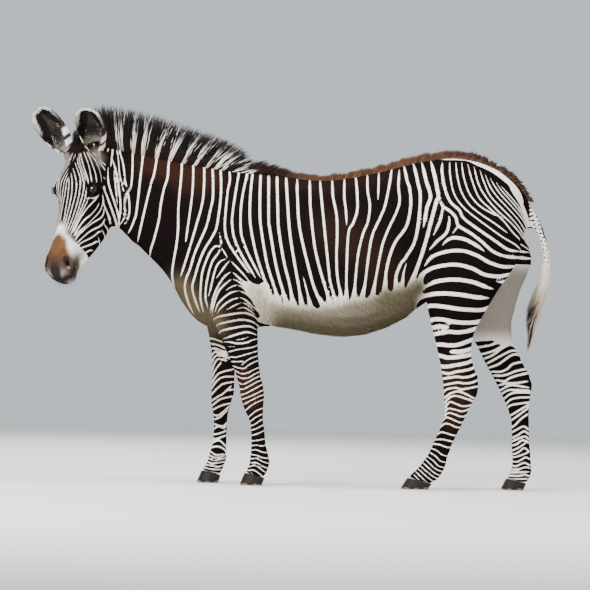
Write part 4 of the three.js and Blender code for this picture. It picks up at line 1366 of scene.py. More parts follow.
BODY_SHAPES = (
    Shape((-300, 1400, -345, 1270, -400, 1120), 38, 7),  # shoulder blade
    Shape((-455, 1390, -500, 1250, -520, 1100), 42, -5),
    Shape((-165, 1190, -150, 1050, -180, 880), 48, -9),  # behind the shoulder
    Shape((-270, 1100, -235, 990, -215, 900), 52, 8),
    Shape((-430, 1010, -450, 940), 52, 9),  # point of the shoulder
    Shape((-420, 880, -300, 800), 26, -4),
    Shape((-195, 850, -190, 800), 26, 7),  # elbow
    Shape((-830, 1250, -720, 1130, -600, 1010), 24, -6),  # groove of the throat
    Shape((-900, 1470, -700, 1400, -520, 1330), 50, 4),  # crest muscle of the neck
    Shape((470, 1360, 520, 1250, 545, 1120), 55, -10),  # flank
    Shape((545, 1460, 600, 1440), 36, 9),  # point of the hip
    Shape((500, 930, 560, 960, 610, 1010), 26, 7),  # fold of the flank
    Shape((620, 930, 650, 900), 50, 7),  # stifle
    Shape((760, 1230, 780, 1080), 105, 9),
    Shape((985, 1240, 960, 1100, 915, 950), 20, -6),  # groove of the buttock
    Shape((930, 1300, 1000, 1180), 40, 6),
    Shape((690, 800, 700, 700), 44, 5),  # gaskin
    Shape((790, 620, 805, 560, 800, 520), 13, -7),  # hollow before the hamstring
    Shape((838, 560, 840, 520), 12, 4),  # point of the hock
    Shape((700, 480, 760, 450), 24, 3),
    Shape((-230, 640, -225, 560), 30, 4),  # forearm
    Shape((-285, 620, -250, 520), 14, -3),
    Shape((-215, 450, -205, 410), 26, 4),  # knee
    Shape((-168, 480, -160, 440), 10, 4),
    Shape((-172, 360, -166, 270, -158, 190), 7, -5),  # beside the tendons
    Shape((742, 370, 712, 280, 682, 190), 8, -5),
    Shape((-200, 120, -130, 125), 22, 3),  # fetlocks
    Shape((600, 130, 690, 120), 22, 3),
    Shape((-160, 82, -150, 70), 12, -3),
    Shape((640, 70, 650, 60), 12, -3),
)
RIBS = tuple(Shape((x, 1270, x + 25, 1120, x - 10, 930), 15, 1.8) for x in range(-60, 420, 58))

FACE_SHAPES = (
    Shape((195, 108, -18, 222, 108, -22), 15, 5),  # brow
    Shape((150, 84, -4, 172, 92, -10), 18, -7),  # hollow over the eye
    Shape((245, 92, -95, 320, 74, -100, 410, 60, -98), 13, 5),  # facial crest
    Shape((260, 90, -140, 350, 72, -150, 450, 56, -130), 26, -5),
    Shape((140, 92, -240, 200, 90, -250), 62, 5),  # cheek muscle
    Shape((120, 60, -322, 200, 66, -336, 260, 62, -322), 20, 4),  # edge of the jaw
    Shape((300, 30, 12, 430, 24, 4, 540, 20, -4), 20, 3),  # nose bone
    Shape((560, 58, -26, 585, 70, -36, 606, 66, -62, 596, 58, -76), 15, 6),  # wing of the nostril
    Shape((628, 24, -70, 636, 0, -74), 22, 3),
    Shape((560, 48, -100, 610, 46, -104, 640, 20, -98), 12, 4),  # upper lip
    Shape((570, 40, -146, 615, 34, -146, 630, 0, -146), 14, 3),  # lower lip
    Shape((610, 0, -172, 600, 24, -168), 20, 3),  # chin
)
FACE_CUTS = (
    Shape((573, 50, -30, 584, 56, -38, 597, 56, -52, 596, 52, -62), 9.5, -20),  # nostril
    Shape((543, 58, -124, 570, 56, -124, 605, 46, -122, 634, 24, -116, 646, 0, -110), 4.2, -6),  # mouth
)

FLESH = ("trunk", "neck", "head", "tail_dock") + tuple(
    f"{part}_{leg}"
    for leg, parts in (("fore", ("forearm", "cannon", "pastern")), ("hind", ("thigh", "cannon", "pastern")))
    for leg in (f"{leg}_left", f"{leg}_right")
    for part in parts
)


@dataclass
class Skin:
    """One smooth skin over all the flesh, as deep below the solids as the coat is long."""

    body: Body
    head: Head
    markings: Markings
    voxel: float = 0.0148
    overlap: float = 0.0006  # how far the solids grow so that their cuts close
    trunk_rounds: int = 36
    coat: tuple[float, float, float] = (5.0, 2.2, 1.4)  # coat depth in mm: trunk, legs, head
    lid: tuple[float, float, float] = (20.0, 8.5, 6.5)  # half length, upper and lower height of the eye slit
    eyeball: float = 22.0

    def build(self) -> bpy.types.Object:
        """Make the skin.

        Returns:
            The skin's object, with its markings stored on its vertices.
        """
        mesh = self.cast()
        net = Net(mesh)
        own = self.body.own(coordinates(mesh))
        own = net.settle(own, self.softness(own), self.trunk_rounds)
        place_vertices(mesh, self.body.metres(own))
        mesh = self.refine(mesh, self.needs_first(own))
        own = self.body.own(coordinates(mesh))
        fine = self.needs_first(own).astype(float)
        own = Net(mesh).settle(own, 0.5 * fine, 4, 1)
        place_vertices(mesh, self.body.metres(own))
        mesh = self.refine(mesh, self.needs_second(own))
        own = self.body.own(coordinates(mesh))
        own = Net(mesh).settle(own, 0.5 * self.needs_second(own), 4, 1)
        place_vertices(mesh, self.body.metres(own))
        own = self.shaped(own, normals(mesh))
        place_vertices(mesh, self.body.metres(own))
        out = normals(mesh)
        own = own - out * self.coat_depth(own)[:, None]
        own = self.lids(own)
        place_vertices(mesh, self.body.metres(own))
        skin = new_object("skin", mesh)
        self.mark(mesh)
        wear(mesh, CoatFinish("short_zebra_coat"))
        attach(skin, "root")
        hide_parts(*FLESH)
        return skin

    def cast(self) -> bpy.types.Mesh:
        """Join copies of the flesh solids and cast them again as one even mesh.

        Returns:
            The even mesh.
        """
        joined = bmesh.new()
        for name in FLESH:
            part = bmesh.new()
            part.from_mesh(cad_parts[name].data)
            bmesh.ops.remove_doubles(part, verts=part.verts, dist=1e-5)
            part.normal_update()
            for vertex in part.verts:
                vertex.co += vertex.normal * self.overlap
            kept = bpy.data.meshes.new("part")
            part.to_mesh(kept)
            part.free()
            joined.from_mesh(kept)
            bpy.data.meshes.remove(kept)
        rough = bpy.data.meshes.new("rough")
        joined.to_mesh(rough)
        joined.free()
        return evenly(rough, self.voxel, "skin")

    def refine(self, mesh: bpy.types.Mesh, wanted: np.ndarray) -> bpy.types.Mesh:
        """Halve the edges of the mesh where more detail is wanted.

        Args:
            mesh: The mesh.
            wanted: Which vertices want detail.

        Returns:
            The same mesh.
        """
        grown = bmesh.new()
        grown.from_mesh(mesh)
        grown.verts.ensure_lookup_table()
        edges = [e for e in grown.edges if wanted[e.verts[0].index] and wanted[e.verts[1].index]]
        bmesh.ops.subdivide_edges(grown, edges=edges, cuts=1, use_grid_fill=True)
        grown.to_mesh(mesh)
        grown.free()
        return mesh

    def softness(self, own: np.ndarray) -> np.ndarray:
        """How strongly each point is smoothed: much on the trunk, little on the legs and the head.

        Args:
            own: Places in the animal's millimetres, a row each.

        Returns:
            A share for each point.
        """
        x, y, z = own.T
        limb_top = np.where(x < self.body.fore_split, 700, 850)
        leg = smoothstep(limb_top + 120, limb_top - 60, z) * (np.abs(y) > 30)
        head = self.head.share(own)
        tail = smoothstep(1050, 1085, x) * (z > 600) * (z < 1300)
        soft = 0.6 * (1 - 0.9 * np.maximum.reduce([leg, head, tail]))
        local = self.head.own(own)
        local[:, 1] = np.abs(local[:, 1])
        root = np.linalg.norm(local - np.array([-15, 80, -25]), axis=1)
        return np.maximum(soft, 0.6 * smoothstep(75, 45, root))

    def needs_first(self, own: np.ndarray) -> np.ndarray:
        """Where the stripes or shapes need edges of half the length: the head, legs and rump.

        Args:
            own: Places in the animal's millimetres, a row each.

        Returns:
            Yes or no for each point.
        """
        x, y, z = own.T
        legs = z < np.where(x < self.body.fore_split, 730, 680)
        elbow = (x < -170) & (x > -480) & (z < 1060)
        cheek = (x < -830) & (z > 1130)
        thin = (x > 690) & (z > 1100) & (z < 1520) & (np.abs(y) > 35)
        tail = (x > 1050) & (z > 880) & (z < 1340)
        return legs | elbow | cheek | thin | tail | (self.head.share(own) > 0.3)

    def needs_second(self, own: np.ndarray) -> np.ndarray:
        """Where they need a quarter: the face, round the eyes, the nostrils and the mouth.

        Args:
            own: Places in the animal's millimetres, a row each.

        Returns:
            Yes or no for each point.
        """
        local = self.head.own(own)
        local[:, 1] = np.abs(local[:, 1])
        near_eye = np.linalg.norm(local - np.array(self.head.eye), axis=1) < 48
        on_head = self.head.share(own) > 0.5
        front = (local[:, 0] > 20) & (local[:, 0] < 480) & (self.markings.around(local) < 150)
        return near_eye | (on_head & (front | (local[:, 0] > 535)))

    def coat_depth(self, own: np.ndarray) -> np.ndarray:
        """The depth of the coat at each point, in millimetres.

        Args:
            own: Places in the animal's millimetres, a row each.

        Returns:
            The depths.
        """
        trunk, legs, head = self.coat
        depth = trunk + (legs - trunk) * self.body.limb_share(own)
        return depth + (head - depth) * self.head.share(own)

    def shaped(self, own: np.ndarray, out: np.ndarray) -> np.ndarray:
        """Raise the muscles and bones and press in the hollows of the body and face.

        Args:
            own: Places in the animal's millimetres, a row each.
            out: The skin's outward direction at each.

        Returns:
            The moved places.
        """
        moved = np.zeros(len(own))
        right = smoothstep(-20, 20, own[:, 1])
        side = np.column_stack([own[:, 0] - right * self.body.leg_step(own), own[:, 2]])
        share = self.head.share(own)
        facing = np.abs(out[:, 1]) ** 0.5 * (1 - share)
        for shape in BODY_SHAPES + RIBS:
            away = distance_to_line(side, rows_of(shape.line))
            moved += shape.height * np.exp(-((away / shape.radius) ** 2)) * facing
        local = self.head.own(own)
        local[:, 1] = np.abs(local[:, 1])
        on_head = share > 0.05
        for shape in FACE_SHAPES:
            away = distance_to_line(local[on_head], rows_of(shape.line, 3))
            moved[on_head] += shape.height * np.exp(-((away / shape.radius) ** 2)) * share[on_head]
        own = own + out * moved[:, None]
        cut = np.zeros(len(own))
        for shape in FACE_CUTS:
            away = distance_to_line(local[on_head], smooth_line(rows_of(shape.line, 3), 4))
            pressed = shape.height * np.exp(-((away / shape.radius) ** 2.6))
            cut[on_head] = np.minimum(cut[on_head], pressed)
        return own + out * cut[:, None]

    def lids(self, own: np.ndarray) -> np.ndarray:
        """Open an almond in the skin over each eye, with a raised lid round it.

        Args:
            own: Places in the animal's millimetres, a row each.

        Returns:
            The moved places.
        """
        half, upper, lower = self.lid
        for side in Side:
            local = self.head.own(own)
            a, b, c = self.eye_view(local, side)
            height = np.where(b > 0, upper, lower) * (1 - np.clip(np.abs(a) / half, 0, 1) ** 2)
            away = np.where(np.abs(a) < half, np.abs(b) - height, np.hypot(np.abs(a) - half, b))
            ring = np.hypot(a, b)
            ball = np.sqrt(np.maximum(self.eyeball**2 - ring**2, 0))
            near = (c > -12) & (ring < 60)
            opened = near * smoothstep(0.8, -1.6, away) * (ring < half + 3)
            rim = near * np.exp(-((np.maximum(away, 0) / 9.0) ** 2)) * (1 - opened)
            crease = near * np.exp(-(((away - 10.5) / 2.6) ** 2)) * np.where(b > 0, 1.0, 0.5)
            lid_level = np.sqrt(np.maximum((self.eyeball + 2.6) ** 2 - ring**2, 0))
            level = c + (np.maximum(lid_level, c) - c) * rim - 1.8 * crease
            level = level + (np.minimum(ball - 6.0, level) - level) * opened
            local = local + (level - c)[:, None] * self.eye_axes(side)[2]
            own = self.head.body(local)
        return own

    def eye_axes(self, side: Side) -> np.ndarray:
        """The eye slit's length, its height and the way the eye looks, as rows in the head's frame.

        Args:
            side: The eye's side.

        Returns:
            The three directions, each of length 1.
        """
        sign = -side.value
        look = np.array([0.2, 0.9 * sign, 0.36])
        length = np.array([1.0, -0.14 * sign, -0.22])
        look = look / np.linalg.norm(look)
        length = length - look * (length @ look)
        length = length / np.linalg.norm(length)
        height = np.cross(look, length) * sign
        return np.array([length, height * np.sign(height[2]), look])

    def eye_view(self, local: np.ndarray, side: Side) -> np.ndarray:
        """Give points of the head as length, height and depth from an eye's middle."""
        middle = np.array(self.head.eye) * (1, -side.value, 1)
        return self.eye_axes(side) @ (local - middle).T

    def mark(self, mesh: bpy.types.Mesh) -> None:
        """Store the stripes, both colours and the lie of the hair on the skin's vertices.

        Args:
            mesh: The skin's mesh.
        """
        own = self.body.own(coordinates(mesh))
        out = normals(mesh)
        depth = self.markings.stripes(own, out)
        signed, slope, number = self.markings.across(own, out)
        store(mesh, "stripe", depth)
        store(mesh, "slope", slope)
        store(mesh, "start", (slope * coordinates(mesh) / MM).sum(axis=1) - signed)
        store(mesh, "half", depth + np.abs(signed))
        store(mesh, "number", number)
        light, dark = self.markings.colours(own, out)
        store(mesh, "light", light)
        store(mesh, "dark", dark)
        upright = np.maximum(self.body.limb_share(own), self.head.share(own))
        store(mesh, "upright", upright)


def evenly(rough: bpy.types.Mesh, voxel: float, name: str) -> bpy.types.Mesh:
    """Cast a closed mesh again as one even mesh of small squares.

    Args:
        rough: The mesh to cast, which is removed.
        voxel: The squares' size, in metres.
        name: The new mesh's name.

    Returns:
        The even mesh.
    """
    holder = new_object("holder", rough)
    remesh = holder.modifiers.new("cast", "REMESH")
    remesh.mode = "VOXEL"
    remesh.voxel_size = voxel
    graph = bpy.context.evaluated_depsgraph_get()
    made = bpy.data.meshes.new_from_object(holder.evaluated_get(graph))
    made.name = name
    bpy.data.objects.remove(holder)
    bpy.data.meshes.remove(rough)
    return made


# ---------------------------------------------------------------- studio


@dataclass
class Studio:
    """A plain pale floor, soft light from every side, and the camera."""

    body: Body
    aim: tuple[float, float, float] = (-20.7, 0.0, 885.0)
    distance: float = 22.0
    width: float = 2.7435  # metres across the picture at the animal's midline
    roll: float = 1.43
    floor: float = 9.0
    lights: tuple = (
        # place, size and power: over the left shoulder, front fill, right rim, top
        ((-3.5, -5.0, 4.6), 3.0, 785),
        ((3.8, -5.4, 2.6), 4.0, 170),
        ((-1.0, 5.0, 4.2), 4.0, 260),
        ((0.2, -0.6, 6.0), 4.0, 430),
    )

    def build(self) -> None:
        """Set the floor, the world, the lights and the camera."""
        self.lay_floor()
        world = bpy.data.worlds.new("studio")
        world.use_nodes = True
        background = world.node_tree.nodes["Background"]
        background.inputs["Color"].default_value = linear("#dde5ec")
        background.inputs["Strength"].default_value = 0.92
        bpy.context.scene.world = world
        middle = Vector((0.0, 0.0, 0.85))
        for number, (place, size, power) in enumerate(self.lights):
            lamp = bpy.data.lights.new(f"softbox_{number}", "AREA")
            lamp.shape = "DISK"
            lamp.size = size
            lamp.energy = power
            holder = bpy.data.objects.new(lamp.name, lamp)
            holder.location = place
            holder.rotation_euler = (middle - Vector(place)).to_track_quat("-Z", "Y").to_euler()
            bpy.context.scene.collection.objects.link(holder)
        self.set_camera()

    def lay_floor(self) -> None:
        """Lay a pale round floor under the hooves."""
        made = bmesh.new()
        bmesh.ops.create_circle(made, cap_ends=True, segments=96, radius=self.floor)
        mesh = bpy.data.meshes.new("floor")
        made.to_mesh(mesh)
        made.free()
        floor = new_object("floor", mesh)
        finish = bpy.data.materials.new("pale_matt_paint")
        finish.use_nodes = True
        shader = finish.node_tree.nodes["Principled BSDF"]
        shader.inputs["Base Color"].default_value = linear("#dad9d5")
        shader.inputs["Roughness"].default_value = 0.85
        mesh.materials.append(finish)

    def set_camera(self) -> None:
        """Stand the camera level with the animal's flank, a long way off its left side."""
        lens = bpy.data.cameras.new("camera")
        lens.sensor_width = 36
        lens.lens = 36 * self.distance / self.width
        lens.clip_end = 200
        camera = bpy.data.objects.new("camera", lens)
        aim = Vector(self.body.metres(np.array(self.aim)))
        camera.location = aim - Vector((0, self.distance, 0))
        level = Matrix.Rotation(math.radians(90), 4, "X")
        camera.rotation_euler = (level @ Matrix.Rotation(math.radians(self.roll), 4, "Z")).to_euler()
        bpy.context.scene.collection.objects.link(camera)
        bpy.context.scene.camera = camera


# ---------------------------------------------------------------- hair


@dataclass(frozen=True)
class HairFinish:
    """Long coarse hair: each lock keeps a soft gloss along its length and varies a little in tone."""

    name: str
    roughness: float = 0.55
    sheen: float = 0.02
    streak_mm: float = 3.0
    shine: float = 0.08

    def build(self) -> bpy.types.Material:
        """Make the material, which reads each lock's own colour from the mesh.

        Returns:
            The material.
        """
        made, tree = new_material(self.name)
        streak = add_node(tree, "TexNoise", {"Scale": 1 / (self.streak_mm * MM), "Detail": 2.0},
                          {"Vector": object_place(tree)}).outputs["Fac"]
        colour = toned(tree, kept_colour(tree), streak, (0.3, 0.7), (0.82, 1.15))
        end_in_surface(tree, {"Roughness": self.roughness, "Sheen Weight": self.sheen,
                              "Specular IOR Level": self.shine}, {"Base Color": colour})
        return made


@dataclass
class Lock:
    """One tapering lock of hair, the pattern for thousands of bent copies."""

    rings: int = 3
    flat: float = 0.45  # thickness as a share of width
    full: float = 0.3  # where along its length a lock is widest
    along: np.ndarray = field(init=False)
    across: np.ndarray = field(init=False)
    faces: np.ndarray = field(init=False)

    def __post_init__(self) -> None:
        """Model the lock as a slim cone and read its shape."""
        made = bmesh.new()
        bmesh.ops.create_cone(made, cap_ends=True, segments=3, radius1=1.0, radius2=0.0, depth=1.0)
        bmesh.ops.remove_doubles(made, verts=made.verts, dist=1e-4)
        sides = [e for e in made.edges if abs(e.verts[0].co.z - e.verts[1].co.z) > 0.5]
        if self.rings > 1:
            bmesh.ops.subdivide_edges(made, edges=sides, cuts=self.rings - 1)
        bmesh.ops.triangulate(made, faces=made.faces)
        points = np.array([v.co for v in made.verts])
        self.along = points[:, 2] + 0.5
        angle = np.arctan2(points[:, 1], points[:, 0])
        t = self.along
        narrowing = np.sqrt(np.clip((1 - t) / (1 - self.full), 0, 1))
        girth = np.where(t < self.full, 0.7 + 0.3 * t / self.full, narrowing)
        self.across = np.column_stack([np.cos(angle), np.sin(angle) * self.flat]) * girth[:, None]
        self.across[t > 0.999] = 0
        self.faces = np.array([[v.index for v in f.verts] for f in made.faces])
        made.free()

    def grow(self, name: str, roots: np.ndarray, bends: np.ndarray, tips: np.ndarray, widths: np.ndarray,
             out: np.ndarray, places: np.ndarray) -> bpy.types.Mesh:
        """Grow a lock from every root.

        Args:
            name: The mesh's name.
            roots: Where each lock starts, in metres.
            bends: The points that pull each lock's curve.
            tips: Where each lock ends.
            widths: Each lock's width, in metres.
            out: The way each lock's flat side looks.
            places: Each root's place on the unwrapped skin.

        Returns:
            One mesh of all the locks.
        """
        count, size = len(roots), len(self.along)
        t = self.along[None, :, None]
        curve = (1 - t) ** 2 * roots[:, None] + 2 * t * (1 - t) * bends[:, None] + t**2 * tips[:, None]
        wide = unit(np.cross(tips - roots, out))
        thick = unit(np.cross(wide, tips - roots))
        half = widths[:, None, None] / 2
        sideways = self.across[None, :, :1] * wide[:, None]
        points = curve + half * (sideways + self.across[None, :, 1:] * thick[:, None])
        faces = (self.faces[None] + size * np.arange(count)[:, None, None]).reshape(-1, 3)
        mesh = bpy.data.meshes.new(name)
        mesh.vertices.add(count * size)
        mesh.loops.add(len(faces) * 3)
        mesh.polygons.add(len(faces))
        mesh.vertices.foreach_set("co", points.astype(np.float32).ravel())
        mesh.loops.foreach_set("vertex_index", faces.astype(np.int32).ravel())
        mesh.polygons.foreach_set("loop_start", np.arange(0, len(faces) * 3, 3, dtype=np.int32))
        mesh.update(calc_edges=True)
        patch = np.column_stack([self.along - 0.5, self.across[:, 0] / 2]) * BAKE_PATCH
        spots = (places[:, None] + patch[None]).reshape(-1, 2)[faces.ravel()]
        mesh.uv_layers.new(name="OFBake").data.foreach_set("uv", spots.astype(np.float32).ravel())
        return mesh

    def spread(self, values: np.ndarray) -> np.ndarray:
        """Repeat a value of each lock for each of its vertices."""
        return np.repeat(values, len(self.along), axis=0)

    def lengthwise(self, count: int) -> np.ndarray:
        """Give how far along its lock each vertex is, for this many locks."""
        return np.tile(self.along, count)


@dataclass
class Unwrap:
    """Where each point of the skin lies on one flat picture of it, each limb in a strip of its own."""

    body: Body
    head: Head

    def places(self, own: np.ndarray) -> np.ndarray:
        """Give the place of each point, as two shares of the picture.

        Args:
            own: Places in the animal's millimetres, a row each.

        Returns:
            The two shares, a row for each point.
        """
        x, y, z = own.T
        middle = np.interp(x, (-900, -300, 0, 600, 1000), (1380, 1100, 1070, 1200, 1300))
        turn = np.arctan2(y, z - middle) / (2 * math.pi) + 0.5
        trunk = np.column_stack([0.02 + 0.96 * (x + 1100) / 2350, 0.41 + 0.57 * turn])
        local = self.head.own(own)
        turn = np.arctan2(local[:, 1], local[:, 2] + 140) / (2 * math.pi) + 0.5
        face = np.column_stack([0.02 + 0.3 * (local[:, 0] + 60) / 760, 0.02 + 0.36 * turn])
        hind = x > self.body.fore_split
        right = y > 0
        step = np.where(right, self.body.leg_step(own), 0)
        line = np.where(hind, np.interp(z, (0, 300, 480, 900), (560, 715, 760, 740)),
                        np.interp(z, (0, 400, 750), (-200, -205, -285)))
        turn = np.arctan2(x - step - line, np.abs(y) - 110) / (2 * math.pi) + 0.5
        strip = hind * 2 + right
        leg = np.column_stack([0.35 + 0.16 * strip + 0.14 * turn, 0.02 + 0.36 * np.clip(z / 950, 0, 1)])
        is_head = self.head.share(own) > 0.5
        is_leg = (self.body.limb_share(own) > 0.5) & ~is_head
        found = np.where(is_head[:, None], face, np.where(is_leg[:, None], leg, trunk))
        return np.clip(found, 0.005, 0.995)


@dataclass
class Hairdresser:
    """Grows and colours all the hair over the skin."""

    body: Body
    head: Head
    markings: Markings
    skin: bpy.types.Object
    seed: int = 7

    def __post_init__(self) -> None:
        """Read the skin once for every piece of hair."""
        mesh = self.skin.data
        self.random = np.random.default_rng(self.seed)
        self.unwrap = Unwrap(self.body, self.head)
        self.points = coordinates(mesh)
        self.out = normals(mesh)
        mesh.calc_loop_triangles()
        corners = np.empty(len(mesh.loop_triangles) * 3, np.int32)
        mesh.loop_triangles.foreach_get("vertices", corners)
        self.corners = corners.reshape(-1, 3)
        a, b, c = (self.points[self.corners[:, k]] for k in range(3))
        self.areas = np.linalg.norm(np.cross(b - a, c - a), axis=1) / 2
        self.tree = BVHTree.FromPolygons([tuple(p) for p in self.points], [tuple(f) for f in self.corners])

    def scatter(self, count: int, wanted: np.ndarray) -> tuple[np.ndarray, np.ndarray]:
        """Choose random places on the skin.

        Args:
            count: How many.
            wanted: How much hair each of the skin's vertices wants for its area.

        Returns:
            The places in metres, and the skin's outward direction at each.
        """
        weight = self.areas * wanted[self.corners].mean(axis=1)
        ends = np.cumsum(weight) / weight.sum()
        steps = (np.arange(count) + self.random.random(count)) / count
        chosen = self.corners[np.searchsorted(ends, steps)]
        u, v = self.random.random((2, count))
        u, v = np.where(u + v > 1, 1 - u, u), np.where(u + v > 1, 1 - v, v)
        shares = np.column_stack([1 - u - v, u, v])[:, :, None]
        return (self.points[chosen] * shares).sum(axis=1), unit((self.out[chosen] * shares).sum(axis=1))

    def wave(self, own: np.ndarray, size: float, kind: int) -> np.ndarray:
        """A smooth random value from -1 to 1 that changes over a size in millimetres.

        Args:
            own: Places in millimetres, a row each.
            size: The size.
            kind: A number that picks one of many such waves.

        Returns:
            A value for each place.
        """
        made = np.zeros(len(own))
        source = np.random.default_rng(kind)
        for _ in range(5):
            way = unit(source.normal(size=3)) / (size * source.uniform(0.6, 1.4))
            made += np.sin(2 * math.pi * (own @ way) + source.uniform(0, 6.28))
        return made / 3.2

    def lie(self, own: np.ndarray, out: np.ndarray) -> np.ndarray:
        """The way the coat lies at each point: back along the body, down the legs and down the face.

        Args:
            own: Places in the animal's millimetres, a row each.
            out: The skin's outward direction at each.

        Returns:
            The directions, each of length 1.
        """
        x, z = own[:, 0], own[:, 2]
        back = np.tile([0.6, 0.0, -0.8], (len(own), 1))
        neck = smoothstep(-300, -600, x)[:, None]
        back = back + neck * (np.array([0.35, 0.0, -0.94]) - back)
        rump = (smoothstep(560, 700, x) * (1 - self.body.limb_share(own)))[:, None]
        back = back + rump * (np.array([0.85, 0.0, -0.5]) - back)
        leg = self.body.limb_share(own)[:, None]
        back = back + leg * (np.array([0.12, 0.0, -1.0]) - back)
        tail = (smoothstep(1040, 1090, x) * (z < 1320))[:, None]
        back = back + tail * (np.array([0.25, 0.0, -1.0]) - back)
        face = self.head.turn @ np.array([1.0, 0.0, 0.05])
        share = self.head.share(own)[:, None]
        back = back + share * (face - back)
        back = back - out * (back * out).sum(axis=1, keepdims=True)
        side = np.cross(out, unit(back))
        swirl = self.wave(own, 160, 3)[:, None] * 0.22 + self.random.normal(0, 0.12, (len(own), 1))
        return unit(unit(back) + side * swirl)

    def coloured(self, own: np.ndarray, out: np.ndarray) -> np.ndarray:
        """The colour of the coat at each point, as hair rather than as a blend.

        Args:
            own: Places in the animal's millimetres, a row each.
            out: The skin's outward direction at each.

        Returns:
            The colours, a row each.
        """
        light, dark = self.markings.colours(own, out)
        depth = self.markings.stripes(own, out) + self.random.normal(0, 0.5, len(own))
        return np.where((depth > 0)[:, None], light, dark)

    def finish(self, mesh: bpy.types.Mesh, colour: np.ndarray, finish: HairFinish, slot: str,
               *nodes: str) -> bpy.types.Object:
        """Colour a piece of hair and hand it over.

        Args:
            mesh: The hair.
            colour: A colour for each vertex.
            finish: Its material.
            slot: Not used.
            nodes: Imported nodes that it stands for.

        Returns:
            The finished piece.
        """
        store(mesh, "colour", np.clip(colour, 0, 1))
        piece = new_object(mesh.name, mesh)
        wear(mesh, finish)
        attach(piece, "root")
        if nodes:
            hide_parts(*nodes)
        report(piece)
        return piece

    def short_coat(self, count: int = 72000, pieces: int = 4) -> None:
        """Lay short flat tufts over the whole skin, smallest on the face and feet.

        Args:
            count: How many tufts there are.
            pieces: How many pieces they are shared out among.
        """
        own = self.body.own(self.points)
        share = self.head.share(own)
        leg = self.body.limb_share(own)
        wanted = 1 + 2.2 * share + 0.6 * leg
        local = self.head.own(own)
        local[:, 1] = np.abs(local[:, 1])
        bare = np.linalg.norm(local - np.array(self.head.eye) - (0, 14, 8), axis=1) < 24
        nostril = distance_to_line(local, np.array([(579.0, 60, -34), (600, 62, -58)])) < 15
        wanted[(bare | nostril) & (share > 0.5)] = 0
        roots, out = self.scatter(count, wanted)
        own = self.body.own(roots)
        share, leg = self.head.share(own), self.body.limb_share(own)
        belly = self.markings.belly_height(own[:, 0]) - own[:, 2]
        belly = smoothstep(-60, 40, belly) * (own[:, 0] < 600) * (own[:, 0] > -420) * (1 - share) * (1 - leg)
        length = 12 + 14 * belly
        length = length + (9 - length) * leg
        length = length * (1 - 0.35 * leg * smoothstep(200, 90, own[:, 2]))
        length = (length + (6.0 - length) * share) * self.random.uniform(0.75, 1.25, count) * MM
        width = (2.6 - 0.9 * leg - 1.3 * share) * self.random.uniform(0.8, 1.2, count) * MM
        lift = self.random.uniform(0.05, 0.17, count) + 0.08 * belly
        room = np.abs(self.markings.stripes(own, out))
        length = np.minimum(length, (3.2 + 1.3 * room) * MM)
        way = self.lie(own, out)
        sunk = roots - out * 0.4 * MM
        bends = sunk + (way * 0.55 + out * lift[:, None] * 1.1) * length[:, None]
        tips = sunk + (way + out * lift[:, None]) * length[:, None]
        middle = own + way * length[:, None] / MM * 0.5
        colour = self.coloured(middle, out) * self.random.uniform(0.84, 1.14, (count, 1))
        places = self.unwrap.places(own)
        lock = Lock(rings=2)
        order = np.argsort(own[:, 0] + 400 * share, kind="stable")
        for number, part in enumerate(np.array_split(order, pieces)):
            mesh = lock.grow(f"short_coat_{number + 1}", sunk[part], bends[part], tips[part], width[part],
                             out[part], places[part])
            self.finish(mesh, lock.spread(colour[part]), HairFinish("short_tufts", 0.65, shine=0.0), "coat")

    def ridge(self, node: str) -> "Ridge":
        """Measure the foot line and the top line of an upright solid."""
        return Ridge(self.body, node)

    def mane(self, count: int = 5600) -> None:
        """Stand the mane up from the crest, leaning back, striped as the neck below it.

        Args:
            count: How many locks it has.
        """
        ridge = self.ridge("mane")
        share = self.random.random(count) ** 0.9
        x = ridge.first + (ridge.last - ridge.first) * share
        rooted = ridge.foot(x)
        offset = self.random.uniform(-1, 1, count)
        lean = np.radians(np.interp(x, (-1000, -920, -860, -806, -713, -573, -387, -240),
                                    (-22, -18, -8, 2, 13, 27, 40, 58)))
        lean += np.radians(self.random.normal(0, 4.0, count))
        rise = ridge.height(x)
        behind = np.clip(x + np.tan(lean) * rise, ridge.first, ridge.last + 60)
        top = ridge.tip(behind)
        top[:, 2] -= 55 * smoothstep(ridge.last - 25, ridge.last + 60, behind)
        reach = self.random.uniform(0.86, 1.07, count)
        reach = np.where(self.random.random(count) < 0.35, reach * self.random.uniform(0.55, 1, count), reach)
        aside = ridge.aside(x)
        roots = rooted + aside * (offset * 15)[:, None] - (0, 0, 12)
        tips = rooted + (top - rooted) * reach[:, None] + aside * (offset * 9)[:, None]
        tips += self.random.normal(0, 2.5, (count, 3))
        bends = (roots + tips) / 2 + np.array([-9.0, 0, 6]) + aside * (offset * 6)[:, None]
        clump = self.wave(roots, 26, 11)[:, None] * np.array([7.0, 0, 0])
        tips += clump
        depth = self.markings.outer_chart.read(roots[:, 0], roots[:, 2] - 22) + 3.0
        depth = depth - 7 * smoothstep(-830, -890, x)
        self.upright_hair("mane_locks", roots, bends, tips, 4.2, depth, aside, "mane")

